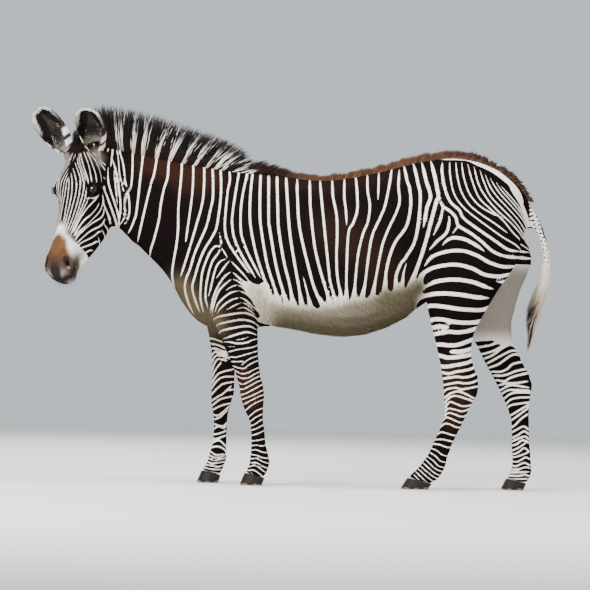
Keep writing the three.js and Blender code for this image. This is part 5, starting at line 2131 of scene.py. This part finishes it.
    def upright_hair(self, name: str, roots: np.ndarray, bends: np.ndarray, tips: np.ndarray, width: float,
                     depth: np.ndarray, aside: np.ndarray, node: str) -> None:
        """Grow the mane's locks, dark grey at the tips and brown at the roots of the dark stripes.

        Args:
            name: The new piece's name.
            roots: Where each lock starts.
            bends: The points that pull each lock's curve.
            tips: Where each lock ends.
            width: A lock's mean width, in millimetres.
            depth: How far inside a white stripe each root lies.
            aside: The way across the ridge at each root.
            node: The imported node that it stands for.
        """
        count = len(roots)
        lock = Lock(rings=4, flat=0.5)
        widths = width * self.random.uniform(0.7, 1.3, count) * MM
        metres = self.body.metres
        mesh = lock.grow(name, metres(roots), metres(bends), metres(tips), widths, aside,
                         self.unwrap.places(roots))
        tone = self.random.uniform(0.8, 1.15, (count, 1))
        white = lock.spread((depth + self.random.normal(0, 1.2, count) > 0).astype(float))
        t = lock.lengthwise(count)
        dark = mix(mix(np.tile(linear("#2a1911"), (len(t), 1)), linear("#120c0c"), smoothstep(0.1, 0.4, t)),
                   linear("#2a2628"), smoothstep(0.75, 1, t))
        sooty = lock.spread((self.random.random(count) < 0.82).astype(float))
        light = mix(mix(np.tile(linear("#e2d6c8"), (len(t), 1)), linear("#f3ebe0"), smoothstep(0.1, 0.4, t)),
                    linear("#2b2527"), smoothstep(0.5, 0.8, t) * sooty)
        colour = mix(dark, light, white) * lock.spread(tone)
        self.finish(mesh, colour, HairFinish("coarse_mane_hair"), "mane_hair", node)

    def crest(self, count: int = 5200) -> None:
        """Lay the ginger crest along the back, leaning well back.

        Args:
            count: How many locks it has.
        """
        ridge = self.ridge("back_crest")
        x = ridge.first - 105 + (ridge.last + 105 - ridge.first) * self.random.random(count)
        foot, top = ridge.foot(x), ridge.tip(x)
        offset = self.random.uniform(-1, 1, count)
        length = np.interp(x, (-300, -220, -120, 0, 400, 700, 1060), (98, 92, 66, 44, 46, 56, 34))
        length = length * self.random.uniform(0.7, 1.15, count) * (1 + 0.25 * self.wave(foot, 34, 21))
        slope = np.gradient(ridge.line[:, 3], ridge.line[:, 0])
        rise = np.interp(x, ridge.line[:, 0], slope)
        run = unit(np.column_stack([np.ones(count), np.zeros(count), rise]))
        upward = unit(np.column_stack([-rise, np.zeros(count), np.ones(count)]))
        steep = np.interp(x, (-220, -100, 60, 700, 1060), (0.9, 0.75, 0.6, 0.75, 0.5))[:, None]
        steep = steep * self.random.uniform(0.4, 1.5, (count, 1))
        roots = foot + np.array([0, 14.0, 0]) * offset[:, None]
        high = np.maximum(top[:, 2] - foot[:, 2], 12)
        roots[:, 2] += 0.1 * high - 4 * offset**2
        tips = roots + unit(run + upward * steep) * length[:, None] + np.array([0, 5.0, 0]) * offset[:, None]
        ceiling = ridge.tip(tips[:, 0])[:, 2] + self.random.uniform(-10, 6, count) + 9
        tips[:, 2] = np.minimum(tips[:, 2], ceiling)
        roots[:, 2] -= 14  # rooted well inside the skin
        bends = (roots + tips) / 2 + upward * (length * 0.14)[:, None]
        lock = Lock(rings=3, flat=0.5)
        widths = 3.6 * self.random.uniform(0.7, 1.3, count) * MM
        aside = np.tile([0.0, 1.0, 0.0], (count, 1)) * np.sign(offset)[:, None] + (0, 0, 0.6)
        metres = self.body.metres
        mesh = lock.grow("crest_locks", metres(roots), metres(bends), metres(tips), widths, aside,
                         self.unwrap.places(roots))
        t = lock.lengthwise(count)
        ginger = np.tile(linear("#68442f"), (count, 1))
        darker = np.maximum(smoothstep(0, -160, x), 0.7 * smoothstep(560, 760, x))
        ginger = mix(ginger, linear("#2c1b13"), darker)
        base = mix(np.tile(linear("#8f6c53"), (count, 1)), linear("#22150f"), smoothstep(0, -120, x))
        colour = mix(lock.spread(base), lock.spread(ginger), smoothstep(0.0, 0.5, t))
        colour = mix(colour, linear("#241915"), smoothstep(0.7, 1, t) * 0.6)
        colour = colour * lock.spread(self.random.uniform(0.5, 1.4, (count, 1)))
        self.finish(mesh, colour, HairFinish("coarse_mane_hair"), "mane_hair", "back_crest")


@dataclass
class Ridge:
    """The foot line and the top line of a packed ridge of upright hair, in the animal's millimetres."""

    body: Body
    node: str
    step: float = 12.0
    line: np.ndarray = field(init=False)  # rows: x, y, foot z, top z

    def __post_init__(self) -> None:
        """Measure the solid in slices."""
        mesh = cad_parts[self.node].data
        made = bmesh.new()
        made.from_mesh(mesh)
        bmesh.ops.remove_doubles(made, verts=made.verts, dist=1e-5)
        low, high = (self.body.own(np.array(corner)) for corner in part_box(self.node))
        rows = []
        for x in np.arange(low[0] + self.step, high[0] - self.step / 2, self.step):
            cut = made.copy()
            plane = Vector(self.body.metres(np.array([x, 0, 0])))
            found = bmesh.ops.bisect_plane(cut, geom=cut.verts[:] + cut.edges[:] + cut.faces[:], dist=1e-6,
                                           plane_co=plane, plane_no=(1, 0, 0))
            ring = [v.co for v in found["geom_cut"] if isinstance(v, bmesh.types.BMVert)]
            cut.free()
            if len(ring) > 2:
                ring = self.body.own(np.array(ring))
                high_part = ring[ring[:, 2] > ring[:, 2].max() - 6]
                rows.append((x, high_part[:, 1].mean(), ring[:, 2].min(), ring[:, 2].max()))
        made.free()
        self.line = np.array(rows)
        self.first, self.last = self.line[0, 0], self.line[-1, 0]

    def at(self, x: np.ndarray, column: int) -> np.ndarray:
        """Read one column of the line at these places."""
        return np.interp(x, self.line[:, 0], self.line[:, column])

    def foot(self, x: np.ndarray) -> np.ndarray:
        """Give the points of the foot line."""
        return np.column_stack([x, self.at(x, 1), self.at(x, 2)])

    def tip(self, x: np.ndarray) -> np.ndarray:
        """Give the points of the top line."""
        return np.column_stack([x, self.at(x, 1), self.at(x, 3)])

    def height(self, x: np.ndarray) -> np.ndarray:
        """Give the ridge's height."""
        return self.at(x, 3) - self.at(x, 2)

    def aside(self, x: np.ndarray) -> np.ndarray:
        """Give the direction across the ridge.

        Args:
            x: Places from nose to tail, in millimetres.

        Returns:
            The directions, each of length 1.
        """
        turn = np.gradient(self.line[:, 1], self.line[:, 0])
        slope = np.interp(x, self.line[:, 0], turn)
        return unit(np.column_stack([-slope, np.ones(len(x)), np.zeros(len(x))]))


# ---------------------------------------------------------------- ears, eyes and hooves


@dataclass
class Ear:
    """One large round cup of an ear, with its rims, its inner hair and the bands on its back."""

    side: Side
    head: Head
    body: Body
    up: tuple[float, float, float]
    open: tuple[float, float, float]
    length: float = 234.0
    width: float = 140.0
    wall: float = 5.0
    root: tuple[float, float, float] = (6.0, 76.0, -38.0)  # of the left ear, in the head's frame
    low: float = 0.05  # where the cup starts, inside the skin

    def __post_init__(self) -> None:
        """Set the ear's own frame: across it, out of its open side and along it."""
        x, y, z = self.root
        self.place = self.head.body(np.array([x, -self.side.value * y, z]))
        along = unit(np.array(self.up))
        outward = np.array(self.open)
        outward = unit(outward - along * (outward @ along))
        self.axes = np.array([np.cross(along, outward), outward, along])

    def surface(self, across: np.ndarray, level: np.ndarray, inside: np.ndarray) -> np.ndarray:
        """Give places on the ear.

        Args:
            across: From -1 at one rim to 1 at the other.
            level: Share of the ear's length.
            inside: 0 on the back and 1 on the inner face.

        Returns:
            The places, in the animal's millimetres.
        """
        lower = np.clip(level / 0.62, 0, 1)
        upper = np.clip((level - 0.62) / 0.38, 0, 1)
        bulge = np.where(level < 0.62, 0.62 + 0.38 * np.sin(math.pi / 2 * lower),
                         np.sqrt(np.maximum(1 - upper**2.2, 0.004)))
        wide = self.width / 2 * bulge
        wrap = np.radians(158 - 70 * np.clip(level / 0.7, 0, 1))
        deep = wide * (0.95 - 0.53 * np.clip(level / 0.8, 0, 1))
        inset = 0.8 + self.wall * inside * np.clip((1.02 - level) / 0.15, 0.25, 1)
        inset += 2.6 * smoothstep(0.26, 0.18, level) * (1 - inside)
        angle = wrap * across
        squeeze = np.where(wrap > math.pi / 2, 1, np.sin(wrap))
        local = np.column_stack([
            np.maximum(wide - inset, 0.5) * np.sin(angle) / squeeze,
            -np.maximum(deep - inset, 0.3) * np.cos(angle),
            level * self.length,
        ])
        return self.place + local @ self.axes

    def outward(self, across: np.ndarray, level: np.ndarray) -> np.ndarray:
        """Give the direction out of the inner face, in the animal's axes.

        Args:
            across: From -1 at one rim to 1 at the other.
            level: Share of the ear's length.

        Returns:
            The directions, each of length 1.
        """
        step = 0.01
        one = np.ones(len(across))
        a = self.surface(across + step, level, one) - self.surface(across - step, level, one)
        b = self.surface(across, level + step, one) - self.surface(across, level - step, one)
        out = unit(np.cross(b, a))
        middle = self.place + np.outer(level * self.length, self.axes[2]) + 30 * self.axes[1]
        inward = ((middle - self.surface(across, level, one)) * out).sum(axis=1)
        return out * np.sign(inward)[:, None]

    def from_rim(self, across: np.ndarray, level: np.ndarray) -> np.ndarray:
        """Tell how far in from the rim a place looks from in front, in millimetres."""
        start = np.interp(level, (0.1, 0.25, 0.5, 0.8, 1.0), (0.9, 0.7, 0.48, 0.34, 0.3))
        return np.minimum(20 * (1 - np.abs(across)) / (1 - start), (1.0 - level) * self.length)

    def colours(self, across: np.ndarray, level: np.ndarray, inside: np.ndarray) -> np.ndarray:
        """Give the colour of the ear at each place.

        Args:
            across: From -1 at one rim to 1 at the other.
            level: Share of the ear's length.
            inside: 0 on the back and 1 on the inner face.

        Returns:
            The colours, a row each.
        """
        top = np.clip((level - 0.55) / 0.45, 0, 1)
        from_rim = self.from_rim(across, level)
        grey = np.tile(linear("#403a34"), (len(level), 1))
        grey = mix(grey, linear("#857b70"), smoothstep(0.5, 0.12, level))
        pit = smoothstep(0.75, 0.25, np.abs(across + 0.1)) * smoothstep(0.1, 0.3, level)
        pit = pit * smoothstep(0.72, 0.4, level)
        grey = mix(grey, linear("#231c1a"), pit * 0.85)
        inner = mix(grey, linear("#17100f"), smoothstep(32, 24, from_rim) * smoothstep(0.1, 0.3, level))
        edge = smoothstep(12, 8, from_rim) * top**0.5
        inner = mix(inner, linear("#efe7dc"), edge)
        base = mix(np.tile(linear("#e9e0d4"), (len(level), 1)), linear("#2a201e"),
                   smoothstep(0.36, 0.42, level) * smoothstep(0.86, 0.8, level))
        base = mix(base, linear("#2a201e"), smoothstep(0.16, 0.19, level) * smoothstep(0.27, 0.24, level))
        return mix(base, inner, np.asarray(inside, float))

    def build(self) -> bpy.types.Object:
        """Model the cup as two bent sheets joined round their edges.

        Returns:
            The finished piece.
        """
        made = bmesh.new()
        for layer in (0.0, 1.0):
            bmesh.ops.create_grid(made, x_segments=40, y_segments=44, size=1.0,
                                  matrix=Matrix.Translation((0, 0, layer)))
        bmesh.ops.bridge_loops(made, edges=[e for e in made.edges if e.is_boundary])
        spots = np.array([v.co for v in made.verts])
        mesh = bpy.data.meshes.new(f"ear_{self.side.word}_cup")
        bmesh.ops.recalc_face_normals(made, faces=made.faces)
        made.to_mesh(mesh)
        made.free()
        across, level, inside = spots[:, 0], self.low + (1 - self.low) * (spots[:, 1] + 1) / 2, spots[:, 2]
        level = np.minimum(1 - (1 - level) ** 1.25, 0.999)
        place_vertices(mesh, self.body.metres(self.surface(across, level, inside)))
        store(mesh, "colour", self.colours(across, level, inside))
        cup = new_object(mesh.name, mesh)
        turned = bmesh.new()
        turned.from_mesh(mesh)
        bmesh.ops.recalc_face_normals(turned, faces=turned.faces)
        turned.to_mesh(mesh)
        turned.free()
        wear(mesh, HairFinish("short_ear_hair", 0.7))
        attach(cup, "root")
        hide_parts(f"ear_{self.side.word}")
        report(cup)
        return cup

    def hair(self, dresser: Hairdresser, count: int = 3400) -> None:
        """Grow long pale hair inside the cup, and short hair along its rim and back.

        Args:
            dresser: The one who grows the animal's hair.
            count: How many locks it has.
        """
        random = dresser.random
        kinds = random.random(count)
        rim, back = kinds < 0.4, kinds > 0.72
        across = np.where(rim, random.choice([-1, 1], count) * random.uniform(0.93, 1.0, count),
                          random.uniform(-0.97, 0.97, count))
        level = np.where(rim, random.uniform(0.2, 0.99, count), random.uniform(0.14, 0.98, count))
        over = rim & (random.random(count) < 0.35)
        across = np.where(over, random.uniform(-1, 1, count), across)
        level = np.where(over, random.uniform(0.965, 0.995, count), level)
        inside = np.where(back, 0.0, np.where(rim, random.uniform(0, 1, count), 1.0))
        roots = self.surface(across, level, inside)
        out = self.outward(across, level) * np.where(back, -1, 1)[:, None]
        beside = self.surface(np.clip(across + 0.02, -1, 1), level, inside)
        side = unit(beside - self.surface(across - 0.02, level, inside))
        along = self.axes[2]
        edge = side * np.sign(across)[:, None]
        way = along * 0.8 + out * 0.55
        way = np.where(rim[:, None], along * 0.5 + edge * 0.7 + random.normal(0, 0.2, (count, 3)), way)
        way = np.where(back[:, None], along + out * 0.12, way)
        inward = np.where((across > 0)[:, None], -side, side)
        way = way + np.where((~rim & ~back)[:, None], inward * 0.35, 0) + random.normal(0, 0.1, (count, 3))
        length = np.where(rim, random.uniform(6, 13, count),
                          random.uniform(16, 34, count) * (1.15 - level * 0.6))
        length = np.where(back, random.uniform(7, 11, count), length)
        tips = roots + unit(way) * length[:, None]
        bends = (roots + tips) / 2 + out * (length * 0.12)[:, None]
        width = np.where(rim | back, 1.7, 1.5) * random.uniform(0.7, 1.2, count) * MM
        colour = self.colours(across, level, inside)
        pale = (random.random(count) < 0.45) & (self.from_rim(across, level) > 27)
        pale = pale & (np.abs(across + 0.1) > 0.3)
        colour = np.where((pale & ~rim & ~back)[:, None], linear("#c9c1b5"), colour)
        colour = colour * random.uniform(0.75, 1.2, (count, 1))
        lock = Lock(rings=2)
        mesh = lock.grow(f"ear_{self.side.word}_hair", self.body.metres(roots), self.body.metres(bends),
                         self.body.metres(tips), width, out, dresser.unwrap.places(roots))
        dresser.finish(mesh, lock.spread(colour), HairFinish("short_ear_hair", 0.7), "coat")


@dataclass(frozen=True)
class EyeFinish:
    """A wet dark eye: very smooth, so it takes a sharp small light."""

    name: str
    roughness: float = 0.06

    def build(self) -> bpy.types.Material:
        """Make the material, which reads the iris and pupil from the mesh.

        Returns:
            The material.
        """
        made, tree = new_material(self.name)
        wet = {"Roughness": self.roughness, "IOR": 1.38, "Coat Weight": 0.6, "Coat Roughness": 0.03}
        end_in_surface(tree, wet, {"Base Color": kept_colour(tree)})
        return made


@dataclass
class Eye:
    """An eyeball with a brown iris and a pupil that lies level."""

    side: Side
    skin: Skin
    pupil: tuple[float, float] = (7.5, 4.2)
    iris: float = 13.5

    def build(self) -> bpy.types.Object:
        """Make the ball, its poles along the way that it looks.

        Returns:
            The finished piece.
        """
        head, radius = self.skin.head, self.skin.eyeball
        made = bmesh.new()
        bmesh.ops.create_uvsphere(made, u_segments=72, v_segments=48, radius=radius)
        mesh = bpy.data.meshes.new(f"eyeball_{self.side.word}")
        made.to_mesh(mesh)
        made.free()
        local = coordinates(mesh)
        axes = self.skin.eye_axes(self.side)
        bulge = 1 + 0.07 * smoothstep(0.72, 0.95, local[:, 2] / radius)
        a, b = local[:, 0], local[:, 1]
        ring = np.hypot(a, b)
        front = local[:, 2] > 0
        colour = np.tile(linear("#150c09"), (len(local), 1))
        colour = mix(colour, linear("#24140c"), smoothstep(self.iris, self.iris - 1.5, ring) * front)
        oval = np.hypot(a / self.pupil[0], b / self.pupil[1])
        colour = mix(colour, linear("#050505"), smoothstep(1.15, 0.95, oval) * front)
        middle = np.array(head.eye) * (1, -self.side.value, 1)
        frame_axes = axes if np.linalg.det(axes) > 0 else axes * [[-1], [1], [1]]
        placed = head.body(middle + (local * bulge[:, None]) @ frame_axes)
        place_vertices(mesh, self.skin.body.metres(placed))
        store(mesh, "colour", colour)
        ball = new_object(mesh.name, mesh)
        wear(mesh, EyeFinish("wet_dark_eye"))
        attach(ball, "root")
        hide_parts(f"eye_{self.side.word}")
        report(ball)
        return ball


@dataclass(frozen=True)
class HornFinish:
    """Hoof horn: dry, dark and slightly waxy, with growth rings and a chipped pale edge."""

    name: str
    roughness: float = 0.5
    ring_mm: float = 6.0

    def build(self) -> bpy.types.Material:
        """Make the material: level rings, upright fibres and a worn edge.

        Returns:
            The material.
        """
        made, tree = new_material(self.name)
        place = object_place(tree)
        rings = stretched_noise(tree, place, (40, 40, 1 / (self.ring_mm * MM)))
        fibres = stretched_noise(tree, place, (700, 700, 60))
        both = calculate(tree, "ADD", rings, fibres)
        colour = toned(tree, kept_colour(tree), both, (0.7, 1.3), (0.75, 1.25))
        bump = add_node(tree, "Bump", {"Strength": 0.5, "Distance": 0.6 * MM}, {"Height": both}).outputs[0]
        end_in_surface(tree, {"Roughness": self.roughness, "Specular IOR Level": 0.12},
                       {"Base Color": colour, "Normal": bump})
        return made


@dataclass
class Hoof:
    """One hoof, cast smooth from its solid, with a flat sole on the floor."""

    end: str
    side: Side
    body: Body
    voxel: float = 0.0032

    def build(self) -> bpy.types.Object:
        """Make the hoof.

        Returns:
            The finished piece.
        """
        node = f"hoof_{self.end}_{self.side.word}"
        merged = bmesh.new()
        merged.from_mesh(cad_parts[node].data)
        bmesh.ops.remove_doubles(merged, verts=merged.verts, dist=1e-5)
        rough = bpy.data.meshes.new("rough")
        merged.to_mesh(rough)
        merged.free()
        mesh = evenly(rough, self.voxel, f"{node}_horn")
        points = coordinates(mesh)
        sole = points[:, 2].min()
        free = smoothstep(sole + 0.001, sole + 0.009, points[:, 2])
        moved = Net(mesh).settle(points, 0.5 * free, 12)
        moved[:, 2] = np.where(points[:, 2] < sole + 0.0022, 0.0, np.maximum(moved[:, 2], 0.0))
        place_vertices(mesh, moved)
        height = moved[:, 2] / MM
        uneven = 3 * np.sin(moved[:, 0] / MM / 7) + 2 * np.sin(moved[:, 1] / MM / 5 + 1)
        colour = np.tile(linear("#231b17"), (len(moved), 1))
        colour = mix(colour, linear("#75695b"), smoothstep(9, 4, height + uneven))
        colour = mix(colour, linear("#1f1917"), smoothstep(38, 60, height))
        store(mesh, "colour", colour)
        horn = new_object(mesh.name, mesh)
        wear(mesh, HornFinish("dark_hoof_horn"))
        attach(horn, "root")
        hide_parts(node)
        report(horn)
        return horn


# ---------------------------------------------------------------- the longer hair of head and tail


@dataclass
class Details:
    """The forelock, the lashes, the whiskers and the switch of the tail."""

    dresser: Hairdresser
    skin: Skin

    def grow(self, name: str, roots: np.ndarray, bends: np.ndarray, tips: np.ndarray, width: float,
             colour: np.ndarray, out: np.ndarray, finish: HairFinish, slot: str) -> None:
        """Grow locks from places in the animal's millimetres, with a colour for each lock.

        Args:
            name: The new piece's name.
            roots: Where each lock starts.
            bends: The points that pull each lock's curve.
            tips: Where each lock ends.
            width: A lock's mean width, in millimetres.
            colour: A colour for each lock.
            out: The way each lock's flat side looks.
            finish: The hair's material.
            slot: Passed on to the finishing, which does not use it.
        """
        dresser, body = self.dresser, self.dresser.body
        lock = Lock(rings=3, flat=0.6)
        widths = width * dresser.random.uniform(0.7, 1.3, len(roots)) * MM
        mesh = lock.grow(name, body.metres(roots), body.metres(bends), body.metres(tips), widths, out,
                         dresser.unwrap.places(roots))
        dresser.finish(mesh, lock.spread(colour), finish, slot)

    def forelock(self, count: int = 1500) -> None:
        """Grow the short forelock between the ears.

        Args:
            count: How many locks it has.
        """
        head, random = self.dresser.head, self.dresser.random
        along, aside = random.uniform(-34, 30, count), random.normal(0, 20, count).clip(-44, 44)
        local = np.column_stack([along, aside, np.zeros(count)])
        local[:, 2] = np.interp(along, (-34, -18, 14, 58), (-56, -24, -2, 10)) - np.abs(aside) ** 2 / 190
        way = np.column_stack([np.full(count, 0.75), local[:, 1] / 90, np.full(count, 0.45)])
        way = unit(way + random.normal(0, 0.22, (count, 3)))
        length = random.uniform(22, 46, count) * np.interp(local[:, 0], (-34, 44), (1.1, 0.6))
        tips = local + way * length[:, None]
        bends = (local + tips) / 2 + (0, 0, 8)
        colour = linear("#2c1912") * random.uniform(0.55, 1.3, (count, 1))
        out = np.tile(head.turn @ np.array([0, 0, 1.0]), (count, 1))
        self.grow("forelock", head.body(local), head.body(bends), head.body(tips), 3.0, colour, out,
                  HairFinish("coarse_mane_hair"), "mane_hair")

    def whiskers(self, count: int = 110) -> None:
        """Grow the stiff whiskers of the lips and chin.

        Args:
            count: How many whiskers there are.
        """
        dresser, random = self.dresser, self.dresser.random
        skin = dresser.body.own(dresser.points)
        local = dresser.head.own(skin)
        lips = (local[:, 0] > 560) & (local[:, 2] < -96) & (dresser.head.share(skin) > 0.5)
        roots, out = dresser.scatter(count, lips.astype(float))
        own = dresser.body.own(roots)
        way = unit(out + np.array([0, 0, -0.5]) + random.normal(0, 0.3, (count, 3)))
        length = random.uniform(18, 52, count)[:, None]
        colour = linear("#6f6660") * random.uniform(0.5, 1.6, (count, 1))
        self.grow("whiskers", own, own + way * length * 0.5 + (0, 0, 2), own + way * length, 0.9, colour, out,
                  HairFinish("stiff_whisker", 0.4), "coat")

    def lashes(self, count: int = 34) -> None:
        """Grow the lashes of both upper lids.

        Args:
            count: How many lashes each eye has.
        """
        head, random = self.dresser.head, self.dresser.random
        half, upper, _ = self.skin.lid
        roots, bends, tips, outs = [], [], [], []
        for side in Side:
            axes = self.skin.eye_axes(side)
            middle = np.array(head.eye) * (1, -side.value, 1)
            a = np.linspace(-0.8, 0.85, count) * half
            b = upper * (1 - (a / half) ** 2) + 0.5
            c = np.sqrt(np.maximum((self.skin.eyeball + 2) ** 2 - a**2 - b**2, 0))
            root = middle + np.column_stack([a, b, c]) @ axes
            length = random.uniform(11, 17, count)[:, None]
            way = unit(axes[2] * 1.0 - axes[1] * 0.35 + np.outer(a / half, axes[0]) * 0.4)
            tip = root + way * length
            roots.append(head.body(root))
            bends.append(head.body((root + tip) / 2 - axes[1] * 2.5))
            tips.append(head.body(tip))
            outs.append(np.tile(head.turn @ axes[1], (count, 1)))
        colour = np.tile(linear("#171312"), (2 * count, 1))
        self.grow("lashes", np.vstack(roots), np.vstack(bends), np.vstack(tips), 1.1, colour, np.vstack(outs),
                  HairFinish("stiff_whisker", 0.4), "coat")

    def switch(self, count: int = 3000) -> None:
        """Grow the switch of the tail from the lower part of its dock.

        Args:
            count: How many locks it has.
        """
        random = self.dresser.random
        start = random.uniform(0, 1, count) ** 1.3
        z = 925 + 135 * start
        x = np.interp(z, (900, 940, 1000, 1080, 1140), (1112, 1126, 1139, 1142, 1132))
        turn = random.uniform(0, 2 * math.pi, count)
        radius = np.interp(z, (930, 1000, 1140), (13, 21, 20))
        spoke = np.column_stack([np.cos(turn), np.sin(turn), np.zeros(count)])
        roots = np.column_stack([x, np.zeros(count), z]) + spoke * (radius - 3)[:, None]
        fall = np.where(start > 0.35, random.uniform(90, 200, count), random.uniform(110, 290, count))
        low = np.clip(z - fall, 648, None)
        low = np.where(random.random(count) < 0.55, np.maximum(low, random.uniform(720, 900, count)), low)
        middle = np.interp(low, (640, 700, 760, 840, 900, 980), (1068, 1070, 1066, 1082, 1104, 1134))
        wide = np.interp(low, (640, 690, 760, 840, 900, 980), (5, 10, 18, 34, 34, 24))
        deep = np.interp(low, (640, 690, 760, 840, 900, 980), (4, 8, 15, 28, 28, 22))
        spread = np.sqrt(random.random(count))
        tips = np.column_stack([middle + wide * spoke[:, 0] * spread, deep * spoke[:, 1] * spread, low])
        halfway = (z + low) / 2
        pull = np.interp(halfway, (780, 860, 920, 1000, 1100), (1092, 1120, 1136, 1146, 1140))
        bends = np.column_stack([pull + 24 * spoke[:, 0], 30 * spoke[:, 1], halfway])
        tone = random.uniform(0.75, 1.12, (count, 1))
        lock = Lock(rings=5, flat=0.6)
        metres = self.dresser.body.metres
        widths = 3.4 * random.uniform(0.6, 1.3, count) * MM
        mesh = lock.grow("tail_switch", metres(roots), metres(bends), metres(tips), widths, spoke,
                         self.dresser.unwrap.places(roots))
        t = lock.lengthwise(count)
        height = lock.spread(z) * (1 - t) + lock.spread(low) * t
        pale = mix(np.tile(linear("#cdbda9"), (len(t), 1)), linear("#efe5d8"), smoothstep(900, 1000, height))
        side = lock.spread((tips[:, 0] < middle + 0.3 * wide).astype(float))
        sooty = lock.spread((random.random(count) < 0.8) * 1.0)
        dark = smoothstep(930, 830, height) * (0.25 + 0.75 * side) * sooty
        colour = mix(pale, linear("#241813"), dark) * lock.spread(tone)
        self.dresser.finish(mesh, colour, HairFinish("coarse_tail_hair"), "mane_hair", "tail_tuft")


def report(piece: bpy.types.Object) -> None:
    """Log a piece's name and size."""
    log.info("%s: %d triangles", piece.name, triangles(piece.data))


EAR_AIMS = {
    # the way each ear's length points, and the way its open side looks
    Side.LEFT: ((-0.2, -0.64, 0.74), (-0.3, -0.93, -0.2)),
    Side.RIGHT: ((-0.64, 0.04, 0.77), (-0.5, -0.85, -0.1)),
}


def main() -> None:
    """Build the whole animal and its studio."""
    logging.basicConfig(level=logging.INFO, format="%(name)s %(message)s")
    body, head = Body(), Head()
    markings = Markings(body, head)
    skin_maker = Skin(body, head, markings)
    skin = skin_maker.build()
    report(skin)
    hair = Hairdresser(body, head, markings, skin)
    hair.short_coat()
    hair.mane()
    hair.crest()
    for side in Side:
        ear = Ear(side, head, body, *EAR_AIMS[side])
        ear.build()
        ear.hair(hair)
        Eye(side, skin_maker).build()
        for end in ("fore", "hind"):
            Hoof(end, side, body).build()
    details = Details(hair, skin_maker)
    details.forelock()
    details.whiskers()
    details.lashes()
    details.switch()
    Studio(body).build()


if __name__ == "__main__":
    main()
